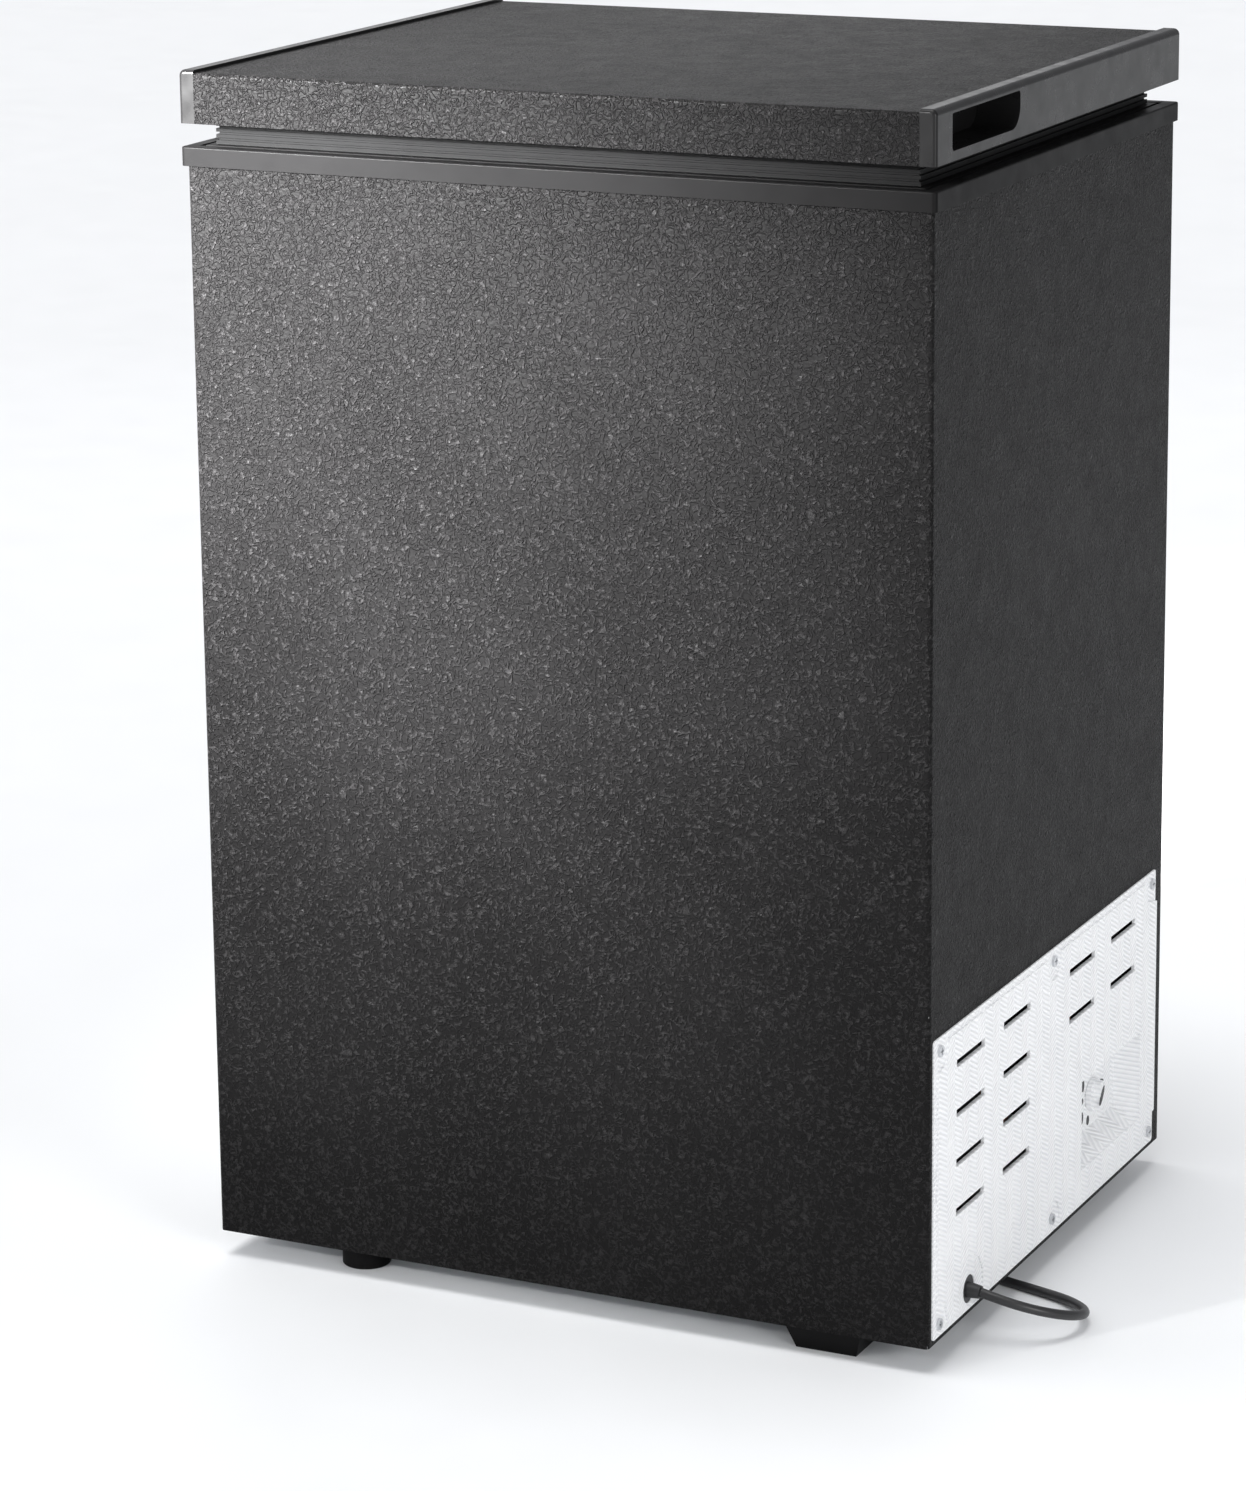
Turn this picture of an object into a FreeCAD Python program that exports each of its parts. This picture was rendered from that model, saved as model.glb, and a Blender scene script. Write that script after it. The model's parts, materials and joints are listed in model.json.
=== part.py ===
import FreeCAD, Part
import math
import os

import Sketcher
from FreeCAD import Rotation, Vector

# A small chest freezer as separate pieces, in millimetres.
# Origin: centre of the footprint on the floor. +X is the side with the compressor cover,
# -Y is the front, +Z is up. The free mains lead and its plug lie outside the footprint.

os.makedirs("parts", exist_ok=True)
doc = FreeCAD.newDocument("chest_freezer")

DRIVING_SIZES = (
    # the whole appliance
    ("overall_width", 525.0),
    ("overall_depth", 445.0),
    ("overall_height", 810.0),
    ("hinge_reach", 8.0),
    ("foot_height", 18.0),
    ("lid_height", 34.7),
    ("gasket_gap", 15.1),
    # cabinet
    ("collar_height", 12.5),
    ("collar_overhang", 3.0),
    ("collar_wall", 3.0),
    ("collar_round", 1.0),
    ("collar_channel_inset", 9.0),
    ("collar_channel_width", 3.0),
    ("collar_channel_deep", 1.2),
    ("sheet_wall", 0.8),
    ("shell_corner", 3.0),
    ("wall_insulation", 51.2),
    ("floor_insulation", 57.0),
    ("liner_wall", 1.5),
    ("liner_corner", 14.0),
    ("liner_flange", 8.0),
    ("ledge_drop", 22.0),
    ("ledge_width", 6.0),
    # compressor bay
    ("bay_width", 165.0),
    ("bay_height", 222.0),
    ("bay_sheet", 1.0),
    ("step_insulation", 43.0),
    ("tray_wall", 2.0),
    ("window_margin", 14.0),
    # refrigerant loops foamed into the walls
    ("loop_tube_width", 7.0),
    ("loop_tube_deep", 5.0),
    ("loop_count", 5.0),
    ("loop_step_gap", 32.0),
    ("loop_ledge_gap", 45.2),
    # compressor cover
    ("cover_front_margin", 5.2),
    ("cover_rear_margin", 14.0),
    ("cover_bottom_margin", 3.7),
    ("cover_height", 200.5),
    ("cover_flange", 1.0),
    ("cover_raise", 1.3),
    ("cover_rim", 9.0),
    ("slot_length", 48.0),
    ("slot_height", 4.8),
    ("slot_pitch", 33.3),
    ("slot_lip", 2.2),
    ("slot_lip_raise", 0.7),
    ("recess_width", 116.0),
    ("recess_height", 64.0),
    ("recess_deep", 17.0),
    ("recess_wall", 1.6),
    ("gland_hole_radius", 9.5),
    # thermostat
    ("knob_radius", 11.5),
    ("knob_height", 8.0),
    ("knob_shaft_radius", 3.0),
    ("running_clearance", 0.05),
    ("moving_gap", 0.3),
    ("lamp_radius", 4.8),
    # compressor
    ("can_radius", 58.0),
    ("can_wall", 3.0),
    ("can_height", 146.0),
    ("can_seam_height", 58.0),
    ("can_round", 24.0),
    ("mount_plate_wall", 2.5),
    ("mount_spacing_deep", 124.0),
    ("mount_spacing_wide", 84.0),
    ("grommet_height", 11.5),
    # feet
    ("levelling_pad_radius", 16.5),
    ("levelling_pad_height", 12.5),
    ("levelling_stud_radius", 4.0),
    ("levelling_inset_side", 99.5),
    ("levelling_inset_front", 33.0),
    ("fixed_foot_width", 42.0),
    ("fixed_foot_deep", 36.0),
    ("fixed_foot_taper", 6.0),
    ("fixed_foot_inset_side", 78.5),
    ("fixed_foot_inset_front", 32.5),
    # lid
    ("cap_width", 11.0),
    ("cap_lip", 2.0),
    ("cap_round", 4.0),
    ("grip_length", 113.0),
    ("grip_height", 23.2),
    ("grip_inset_front", 25.5),
    ("grip_inset_bottom", 6.2),
    ("grip_deep", 29.0),
    ("grip_wall", 2.0),
    ("grip_corner", 14.0),
    ("panel_wall", 1.5),
    ("plug_drop", 8.0),
    ("plug_clearance", 10.5),
    ("gasket_inset", 17.0),
    ("gasket_width", 24.0),
    ("gasket_rib", 1.6),
    ("magnet_width", 8.0),
    ("magnet_height", 3.5),
    # hinges
    ("hinge_spread", 165.0),
    ("hinge_width", 40.0),
    ("hinge_knuckle_radius", 4.5),
    ("hinge_pin_radius", 2.5),
    ("hinge_plate", 2.2),
    ("hinge_leaf_length", 62.0),
    ("lid_leaf_length", 26.0),
    ("hinge_knuckle_length", 18.0),
    # basket
    ("basket_length", 190.0),
    ("basket_height", 176.0),
    ("basket_wire", 3.0),
    ("basket_rim", 4.5),
    ("basket_side_gap", 9.0),
    # fasteners
    ("screw_head_radius", 3.8),
    ("screw_head_height", 1.8),
    ("screw_shank_radius", 2.0),
    # mains lead
    ("cord_diameter", 6.5),
    ("plug_length", 36.0),
    ("plug_width", 27.0),
    ("plug_height", 24.0),
)


def make_sheet():
    """Write the driving sizes to the document's spreadsheet."""
    table = doc.addObject("Spreadsheet::Sheet", "dims")
    for row, (alias, amount) in enumerate(DRIVING_SIZES, start=1):
        table.set(f"A{row}", alias)
        table.set(f"B{row}", str(amount))
        table.setAlias(f"B{row}", alias)
    doc.recompute()
    return table


sheet = make_sheet()

# Planes of the appliance, as expressions over the sheet.
SIDE = "(dims.overall_width / 2)"
FRONT = "(-dims.overall_depth / 2)"
REAR = "(dims.overall_depth / 2 - dims.hinge_reach)"
BOTTOM = "dims.foot_height"
LID_TOP = "dims.overall_height"
LID_BOTTOM = "(dims.overall_height - dims.lid_height)"
COLLAR_TOP = f"({LID_BOTTOM} - dims.gasket_gap)"
COLLAR_BOTTOM = f"({COLLAR_TOP} - dims.collar_height)"
SHELL_SIDE = f"({SIDE} - dims.collar_overhang)"
SHELL_FRONT = f"({FRONT} + dims.collar_overhang)"
SHELL_REAR = f"({REAR} - dims.collar_overhang)"
SHELL_TOP = f"({COLLAR_TOP} - dims.collar_wall)"
INSIDE_SIDE = f"({SHELL_SIDE} - dims.sheet_wall)"
INSIDE_FRONT = f"({SHELL_FRONT} + dims.sheet_wall)"
INSIDE_REAR = f"({SHELL_REAR} - dims.sheet_wall)"
ROOM_SIDE = f"({INSIDE_SIDE} - dims.wall_insulation)"
ROOM_FRONT = f"({INSIDE_FRONT} + dims.wall_insulation)"
ROOM_REAR = f"({INSIDE_REAR} - dims.wall_insulation)"
ROOM_FLOOR = f"({BOTTOM} + dims.floor_insulation)"
LEDGE = f"({SHELL_TOP} - dims.ledge_drop)"
BAY_SIDE = f"({SHELL_SIDE} - dims.bay_width)"
BAY_ROOF = f"({BOTTOM} + dims.bay_height)"
STEP_SIDE = f"({BAY_SIDE} - dims.step_insulation)"
STEP_TOP = f"({BAY_ROOF} + dims.step_insulation)"
LOOP_FIRST = f"({STEP_TOP} + dims.loop_step_gap)"
LOOP_LAST = f"({LEDGE} - dims.loop_ledge_gap)"
COVER_FACE = f"({SHELL_SIDE} + dims.cover_flange)"
COVER_RAISED = f"({COVER_FACE} + dims.cover_raise)"
COVER_FRONT = f"({SHELL_FRONT} + dims.cover_front_margin)"
COVER_REAR = f"({SHELL_REAR} - dims.cover_rear_margin)"
COVER_BOTTOM = f"({BOTTOM} + dims.cover_bottom_margin)"
COVER_TOP = f"({COVER_BOTTOM} + dims.cover_height)"
RECESS_FLOOR = f"({COVER_FACE} - dims.recess_deep)"
RECESS_REAR = f"({COVER_REAR} - 31)"
RECESS_BOTTOM = f"({COVER_BOTTOM} + 26)"
KNOB_Y = f"({RECESS_REAR} - dims.recess_width * 0.42)"
KNOB_Z = f"({RECESS_BOTTOM} + dims.recess_height * 0.49)"
GLAND_Y = f"({COVER_FRONT} + 61.5)"
GLAND_Z = f"({COVER_BOTTOM} + 14)"
HINGE_Y = "(dims.overall_depth / 2 - dims.hinge_knuckle_radius)"
HINGE_Z = f"({COLLAR_TOP} + dims.gasket_gap / 2)"
COMPRESSOR_X = f"({BAY_SIDE} + dims.bay_width * 0.47)"
COMPRESSOR_Y = f"({SHELL_FRONT} + 150)"
TRAY_TOP = f"({BOTTOM} + dims.tray_wall)"
PLATE_Z = f"({TRAY_TOP} + dims.grommet_height)"
CAN_BOTTOM = f"({PLATE_Z} + dims.mount_plate_wall)"
CAN_SEAM = f"({CAN_BOTTOM} + dims.can_seam_height)"
CAN_TOP = f"({CAN_BOTTOM} + dims.can_height)"
SKIN_TOP = f"({LID_TOP} - dims.cap_lip)"
CAP_INNER = f"({SIDE} - dims.cap_width)"
PLUG_BOTTOM = f"({COLLAR_TOP} - dims.plug_drop)"

PLANE_SIGN = {"XY_Plane": 1, "XZ_Plane": -1, "YZ_Plane": 1}
pieces = []


# ---------------------------------------------------------------- helpers


def size(text):
    """An expression's value now, in millimetres."""
    return float(sheet.evalExpression(text.replace("dims.", "")))


def keep(piece, label):
    """List a finished piece under its node's name."""
    piece.Label = label
    pieces.append(piece)
    return piece


def block(name, low, high):
    """A box between two corners given as expressions."""
    box = doc.addObject("Part::Box", name)
    for prop, axis, start, end in zip(("Length", "Width", "Height"), "xyz", low, high):
        box.setExpression(prop, f"({end}) - ({start})")
        box.setExpression(f".Placement.Base.{axis}", start)
    return box


def rod(name, base, axis, radius, length):
    """A cylinder from base along +X, +Y or +Z."""
    cylinder = doc.addObject("Part::Cylinder", name)
    turns = {"x": Rotation(Vector(0, 1, 0), 90), "y": Rotation(Vector(1, 0, 0), -90), "z": Rotation()}
    cylinder.Placement.Rotation = turns[axis]
    cylinder.setExpression("Radius", radius)
    cylinder.setExpression("Height", length)
    for letter, place in zip("xyz", base):
        cylinder.setExpression(f".Placement.Base.{letter}", place)
    return cylinder


def joined(name, shapes):
    fuse = doc.addObject("Part::MultiFuse", name)
    fuse.Shapes = shapes
    fuse.Refine = True
    return fuse


def carved(name, base, tools):
    """base less every tool."""
    cut = doc.addObject("Part::Cut", name)
    cut.Base = base
    cut.Tool = tools[0] if len(tools) == 1 else joined(name + "_tools", tools)
    cut.Refine = True
    return cut


def grouped(name, shapes):
    group = doc.addObject("Part::Compound", name)
    group.Links = shapes
    return group


def new_body(label):
    return doc.addObject("PartDesign::Body", label)


def sketch_at(body, plane, level):
    """A sketch on one of the body's own origin planes, moved to level along the plane's axis."""
    sketch = body.newObject("Sketcher::SketchObject", body.Name + "_sketch")
    support = next(plane_ for plane_ in body.Origin.OriginFeatures if plane_.Role == plane)
    sketch.AttachmentSupport = [(support, "")]
    sketch.MapMode = "FlatFace"
    offset = level if PLANE_SIGN[plane] > 0 else f"-({level})"
    sketch.setExpression(".AttachmentOffset.Base.z", offset)
    return sketch


def outline(sketch, corners):
    """A closed polygon whose corners are pairs of expressions."""
    first = sketch.GeometryCount
    spots = [Vector(size(u), size(v), 0) for u, v in corners]
    for start, end in zip(spots, spots[1:] + spots[:1]):
        sketch.addGeometry(Part.LineSegment(start, end), False)
    for index, corner in enumerate(corners):
        before = first + (index - 1) % len(corners)
        sketch.addConstraint(Sketcher.Constraint("Coincident", before, 2, first + index, 1))
        for kind, text in zip(("DistanceX", "DistanceY"), corner):
            place = Sketcher.Constraint(kind, -1, 1, first + index, 1, size(text))
            number = sketch.addConstraint(place)
            sketch.setExpression(f"Constraints[{number}]", text)


def ring(sketch, centre, radius):
    """A circle whose centre and radius are expressions."""
    middle = Vector(size(centre[0]), size(centre[1]), 0)
    circle = sketch.addGeometry(Part.Circle(middle, Vector(0, 0, 1), size(radius)), False)
    number = sketch.addConstraint(Sketcher.Constraint("Radius", circle, size(radius)))
    sketch.setExpression(f"Constraints[{number}]", radius)
    for kind, text in zip(("DistanceX", "DistanceY"), centre):
        number = sketch.addConstraint(Sketcher.Constraint(kind, -1, 1, circle, 3, size(text)))
        sketch.setExpression(f"Constraints[{number}]", text)


def rectangle(low_u, low_v, high_u, high_v):
    return [(low_u, low_v), (high_u, low_v), (high_u, high_v), (low_u, high_v)]


def draw(sketch, loops):
    """Draw outlines (lists of corners) and rings (centre u, centre v, radius)."""
    for loop in loops:
        if isinstance(loop, tuple):
            ring(sketch, loop[:2], loop[2])
        else:
            outline(sketch, loop)


def pad(body, plane, low, high, loops):
    """Material between two levels along the plane's axis."""
    sketch = sketch_at(body, plane, low)
    draw(sketch, loops)
    feature = body.newObject("PartDesign::Pad", body.Name + "_pad")
    feature.Profile = sketch
    feature.setExpression("Length", f"({high}) - ({low})")
    feature.Reversed = PLANE_SIGN[plane] < 0
    doc.recompute()
    return feature


def pocket(body, plane, low, high, loops):
    """A cut between two levels along the plane's axis, which has to remove material."""
    before = body.Shape.Volume
    sketch = sketch_at(body, plane, low)
    draw(sketch, loops)
    feature = body.newObject("PartDesign::Pocket", body.Name + "_pocket")
    feature.Profile = sketch
    feature.setExpression("Length", f"({high}) - ({low})")
    feature.Reversed = PLANE_SIGN[plane] > 0
    doc.recompute()
    assert body.Shape.Volume < before - 0.01, f"{body.Name}: a pocket cuts nothing"
    return feature


def runs_along(edge, axis):
    """Whether an edge's two ends differ along the named axis only."""
    span = edge.Vertexes[-1].Point - edge.Vertexes[0].Point
    others = [span["xyz".index(letter)] for letter in "xyz" if letter != axis]
    return span.Length > 0.1 and all(abs(part) < 0.01 for part in others)


def edge_names(shape, chosen, axis):
    """Names of the edges whose ends satisfy chosen(point), along one axis if it is named."""
    names = []
    for number, edge in enumerate(shape.Edges, start=1):
        if axis and not runs_along(edge, axis):
            continue
        if all(chosen(vertex.Point) for vertex in edge.Vertexes):
            names.append(f"Edge{number}")
    return names


def rounded(body, radius, chosen, axis=None):
    """Fillet the body's edges picked by place, and by direction if an axis is named."""
    doc.recompute()
    base = body.Tip
    names = edge_names(base.Shape, chosen, axis)
    assert names, f"{body.Name}: no edge to round"
    feature = body.newObject("PartDesign::Fillet", body.Name + "_round")
    feature.Base = (base, names)
    feature.setExpression("Radius", radius)
    doc.recompute()
    assert feature.isValid(), f"{body.Name}: cannot round {names} by {radius}"
    return feature


def loft(body, plane, sections, kind="PartDesign::AdditiveLoft"):
    """A ruled solid through outlines, each given as (level, loop)."""
    sketches = []
    for level, loop in sections:
        sketch = sketch_at(body, plane, level)
        draw(sketch, [loop])
        sketches.append(sketch)
    feature = body.newObject(kind, body.Name + "_loft")
    feature.Profile = sketches[0]
    feature.Sections = sketches[1:]
    feature.Ruled = True
    doc.recompute()
    return feature


def near(value, text, slack=0.05):
    return abs(value - size(text)) < slack


def tube_path(points):
    """Straight runs joined by tangent arcs, with the smallest arc radius."""
    spots = [Vector(*point) for point in points]
    edges = []
    radii = []
    cursor = spots[0]
    for before, corner, after in zip(spots, spots[1:], spots[2:]):
        come = (corner - before).normalize()
        leave = (after - corner).normalize()
        half_turn = come.getAngle(leave) / 2
        setback = 0.45 * min((corner - before).Length, (after - corner).Length)
        radii.append(setback / math.tan(half_turn))
        start = corner - come * setback
        end = corner + leave * setback
        bisector = (leave - come).normalize()
        centre_gap = radii[-1] / math.cos(half_turn)
        middle = corner + bisector * (centre_gap - radii[-1])
        edges.append(Part.LineSegment(cursor, start).toShape())
        edges.append(Part.Arc(start, middle, end).toShape())
        cursor = end
    edges.append(Part.LineSegment(cursor, spots[-1]).toShape())
    return Part.Wire(edges), radii


def tube(label, points, radius):
    """A round tube swept along the points' path."""
    path, radii = tube_path(points)
    start = Vector(*points[0])
    heading = Vector(*points[1]) - start
    section = Part.Wire([Part.Circle(start, heading, radius).toShape()])
    shape = path.makePipeShell([section], True, False)
    expected = math.pi * radius**2 * path.Length
    assert abs(shape.Volume / expected - 1) < 0.01, f"{label}: the tube's volume is off"
    print(f"{label}: length {path.Length:.0f} mm, tightest arc {min(radii, default=0):.1f} mm")
    feature = doc.addObject("Part::Feature", label)
    feature.Shape = shape
    return feature


def pan_screw(name, seat, axis, outward, grip):
    """A pan-head screw: seat is the centre under its head, outward is 1 or -1 along axis."""
    letter = "xyz".index(axis)
    head = list(seat)
    shank = list(seat)
    slot_low = [f"({place}) - dims.screw_head_radius * 0.62" for place in seat]
    slot_high = [f"({place}) + dims.screw_head_radius * 0.62" for place in seat]
    if outward > 0:
        shank[letter] = f"({seat[letter]}) - ({grip})"
        slot_low[letter] = f"({seat[letter]}) + dims.screw_head_height * 0.4"
        slot_high[letter] = f"({seat[letter]}) + dims.screw_head_height * 1.2"
    else:
        head[letter] = f"({seat[letter]}) - dims.screw_head_height"
        slot_low[letter] = f"({seat[letter]}) - dims.screw_head_height * 1.2"
        slot_high[letter] = f"({seat[letter]}) - dims.screw_head_height * 0.4"
    solid = joined(name + "_blank", [
        rod(name + "_head", head, axis, "dims.screw_head_radius", "dims.screw_head_height"),
        rod(name + "_shank", shank, axis, "dims.screw_shank_radius", grip),
    ])
    cross = []
    for across in [other for other in range(3) if other != letter]:
        low = list(slot_low)
        high = list(slot_high)
        low[across] = f"({seat[across]}) - 0.5"
        high[across] = f"({seat[across]}) + 0.5"
        cross.append(block(f"{name}_slot{across}", low, high))
    return carved(name, solid, cross)


# ---------------------------------------------------------------- cabinet


def outer_shell():
    """Embossed steel wrapper: left side, front and right side in one bent sheet."""
    body = new_body("outer_shell")
    profile = [
        (f"-{SHELL_SIDE}", SHELL_REAR), (f"-{SHELL_SIDE}", SHELL_FRONT),
        (SHELL_SIDE, SHELL_FRONT), (SHELL_SIDE, SHELL_REAR),
        (INSIDE_SIDE, SHELL_REAR), (INSIDE_SIDE, INSIDE_FRONT),
        (f"-{INSIDE_SIDE}", INSIDE_FRONT), (f"-{INSIDE_SIDE}", SHELL_REAR),
    ]
    pad(body, "XY_Plane", BOTTOM, SHELL_TOP, [profile])
    rounded(body, "dims.shell_corner - dims.sheet_wall",
            lambda p: near(abs(p.x), INSIDE_SIDE) and near(p.y, INSIDE_FRONT), "z")
    rounded(body, "dims.shell_corner",
            lambda p: near(abs(p.x), SHELL_SIDE) and near(p.y, SHELL_FRONT), "z")
    window = rectangle(f"{COVER_FRONT} + dims.window_margin", f"{COVER_BOTTOM} + 18",
                       f"{COVER_REAR} - dims.window_margin", f"{COVER_TOP} - dims.window_margin")
    pocket(body, "YZ_Plane", f"{INSIDE_SIDE} - 1", f"{SHELL_SIDE} + 1", [window])
    holes = [(y, z, "dims.screw_shank_radius") for y, z in COVER_SCREWS]
    pocket(body, "YZ_Plane", f"{INSIDE_SIDE} - 1", f"{SHELL_SIDE} + 1", holes)
    pocket(body, "YZ_Plane", f"{INSIDE_SIDE} - 1", f"{SHELL_SIDE} + 1",
           [(GLAND_Y, GLAND_Z, "dims.gland_hole_radius + 2.5")])
    keep(body, "outer_shell")


def hinge_screw_spots(sign):
    """Screw places (x, z) of a cabinet leaf."""
    middle = f"{sign} * dims.hinge_spread"
    low = f"{COLLAR_BOTTOM} - dims.hinge_leaf_length + 10"
    high = f"{COLLAR_BOTTOM} - 14"
    return [(f"({middle}) - 11", high), (f"({middle}) + 11", high), (middle, low)]


def lid_screw_spots(sign):
    middle = f"{sign} * dims.hinge_spread"
    height = f"{LID_BOTTOM} + dims.lid_leaf_length * 0.62"
    return [(f"({middle}) - 12", height), (f"({middle}) + 12", height)]


def back_panel():
    """Flat rear sheet between the wrapper's two sides."""
    body = new_body("back_panel")
    pad(body, "XZ_Plane", INSIDE_REAR, SHELL_REAR,
        [rectangle(f"-{INSIDE_SIDE}", BOTTOM, INSIDE_SIDE, SHELL_TOP)])
    holes = [(x, z, "dims.screw_shank_radius")
             for sign in (-1, 1) for x, z in hinge_screw_spots(sign)]
    pocket(body, "XZ_Plane", f"{INSIDE_REAR} - 1", f"{SHELL_REAR} + 1", holes)
    keep(body, "back_panel")


def levelling_spots():
    """Centres (x, y) of the two screw feet on the side away from the compressor."""
    x = f"(-{SIDE} + dims.levelling_inset_side)"
    return {
        "front": (x, f"({FRONT} + dims.levelling_inset_front)"),
        "rear": (x, f"({SHELL_REAR} - dims.levelling_inset_front + dims.collar_overhang)"),
    }


def fixed_foot_spots():
    x = f"({SIDE} - dims.fixed_foot_inset_side)"
    return {
        "front": (x, f"({FRONT} + dims.fixed_foot_inset_front)"),
        "rear": (x, f"({SHELL_REAR} - dims.fixed_foot_inset_front + dims.collar_overhang)"),
    }


def mount_spots():
    """Centres (x, y) of the compressor's four rubber mounts."""
    return [(f"({COMPRESSOR_X} + {across} * dims.mount_spacing_wide / 2)",
             f"({COMPRESSOR_Y} + {along} * dims.mount_spacing_deep / 2)")
            for across in (-1, 1) for along in (-1, 1)]


def base_panel():
    """Galvanised sheet under the insulated part, with holes for the levelling feet."""
    sheet_body = new_body("base_panel")
    pad(sheet_body, "XY_Plane", BOTTOM, f"{BOTTOM} + dims.sheet_wall",
        [rectangle(f"-{INSIDE_SIDE}", INSIDE_FRONT, BAY_SIDE, INSIDE_REAR)])
    holes = [(x, y, "dims.levelling_stud_radius + 1") for x, y in levelling_spots().values()]
    pocket(sheet_body, "XY_Plane", f"{BOTTOM} - 1", f"{BOTTOM} + dims.sheet_wall + 1", holes)
    keep(sheet_body, "base_panel")


def compressor_tray():
    """Steel floor of the compressor bay, with vent slots and mounting holes."""
    body = new_body("compressor_tray")
    pad(body, "XY_Plane", BOTTOM, TRAY_TOP,
        [rectangle(BAY_SIDE, INSIDE_FRONT, INSIDE_SIDE, INSIDE_REAR)])
    holes = [(x, y, "dims.screw_shank_radius + 1") for x, y in mount_spots()]
    holes += [(x, y, "dims.screw_shank_radius") for x, y in fixed_foot_spots().values()]
    pocket(body, "XY_Plane", f"{BOTTOM} - 1", f"{TRAY_TOP} + 1", holes)
    vents = []
    for number in range(5):
        middle = f"{COMPRESSOR_Y} + 96 + {number} * 18"
        vents.append(rectangle(f"{BAY_SIDE} + 30", f"{middle} - 3", f"{BAY_SIDE} + 85", f"{middle} + 3"))
    pocket(body, "XY_Plane", f"{BOTTOM} - 1", f"{TRAY_TOP} + 1", vents)
    keep(body, "compressor_tray")


def bay_panel():
    """Bent sheet that walls the compressor bay off from the insulation."""
    body = new_body("bay_panel")
    low = f"{BOTTOM} + dims.sheet_wall"
    profile = [
        (f"{BAY_SIDE} - dims.bay_sheet", low), (BAY_SIDE, low),
        (BAY_SIDE, f"{BAY_ROOF} - dims.bay_sheet"), (INSIDE_SIDE, f"{BAY_ROOF} - dims.bay_sheet"),
        (INSIDE_SIDE, BAY_ROOF), (f"{BAY_SIDE} - dims.bay_sheet", BAY_ROOF),
    ]
    pad(body, "XZ_Plane", INSIDE_FRONT, INSIDE_REAR, [profile])
    keep(body, "bay_panel")


def round_block(name, low, high, radius):
    """A box with its four upright edges rounded."""
    box = block(name + "_box", low, high)
    doc.recompute()
    fillet = doc.addObject("Part::Fillet", name)
    fillet.Base = box
    fillet.Edges = [(number, size(radius), size(radius))
                    for number, edge in enumerate(box.Shape.Edges, start=1) if runs_along(edge, "z")]
    return fillet


def room_solid(label, grow, corner):
    """The storage space with its rim ledge and its step over the compressor, grown all round."""
    front = f"({ROOM_FRONT} + dims.ledge_width - ({grow}))"
    rear = f"({ROOM_REAR} - dims.ledge_width + ({grow}))"
    left = f"(-{ROOM_SIDE} - ({grow}))"
    right = f"({ROOM_SIDE} + ({grow}))"
    step = f"{STEP_TOP} - ({grow})"
    ledge = f"{LEDGE} - ({grow})"
    well = round_block(label + "_well", (left, front, f"{ROOM_FLOOR} - ({grow})"),
                       (f"{STEP_SIDE} + ({grow})", rear, f"{step} + 1"), corner)
    main = round_block(label + "_main", (left, front, step), (right, rear, f"{ledge} + 1"), corner)
    mouth = round_block(label + "_mouth", (left, f"{ROOM_FRONT} - ({grow})", ledge),
                        (right, f"{ROOM_REAR} + ({grow})", SHELL_TOP), corner)
    return joined(label, [well, main, mouth])


def inner_liner(envelope, room):
    """White inner tub with a flange clamped under the top collar."""
    grow = "dims.liner_wall + dims.liner_flange"
    flange = block("liner_flange_plate",
                   (f"-{ROOM_SIDE} - ({grow})", f"{ROOM_FRONT} - ({grow})", f"{SHELL_TOP} - dims.liner_wall"),
                   (f"{ROOM_SIDE} + ({grow})", f"{ROOM_REAR} + ({grow})", SHELL_TOP))
    tub = joined("liner_tub", [envelope, flange])
    keep(carved("inner_liner", tub, [room]), "inner_liner")
    return tub


def loop_levels():
    """Heights of the refrigerant loops in the walls, above the step."""
    count = int(size("dims.loop_count"))
    span = f"({LOOP_LAST} - {LOOP_FIRST})"
    return [f"({LOOP_FIRST} + {span} * {number} / {count - 1})" for number in range(count)]


def corner_reliefs(name):
    """Blocks that keep what is foamed in clear of the wrapper's two rounded bends."""
    relief = "(dims.shell_corner - dims.sheet_wall)"
    return [block(f"{name}_corner{sign + 1}",
                  (f"{sign} * {INSIDE_SIDE} - {relief}", f"{INSIDE_FRONT} - 1", "0"),
                  (f"{sign} * {INSIDE_SIDE} + {relief}", f"{INSIDE_FRONT} + {relief}", LID_TOP))
            for sign in (-1, 1)]


def wall_loops(label, low, high, tools):
    """Square loops of flattened tube round the walls, joined by risers at one corner."""
    bars = []
    levels = loop_levels()
    for number, level in enumerate(levels):
        bars.append(block(f"{label}_loop{number}", (low[0], low[1], level),
                          (high[0], high[1], f"{level} + dims.loop_tube_width")))
    riser_low = (f"({low[0]}) + 60", low[1], levels[0])
    riser_high = (f"({low[0]}) + 60 + dims.loop_tube_width", f"({low[1]}) + dims.loop_tube_deep", levels[-1])
    bars.append(block(f"{label}_riser", riser_low, riser_high))
    return keep(carved(label, joined(label + "_bars", bars), tools), label)


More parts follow.
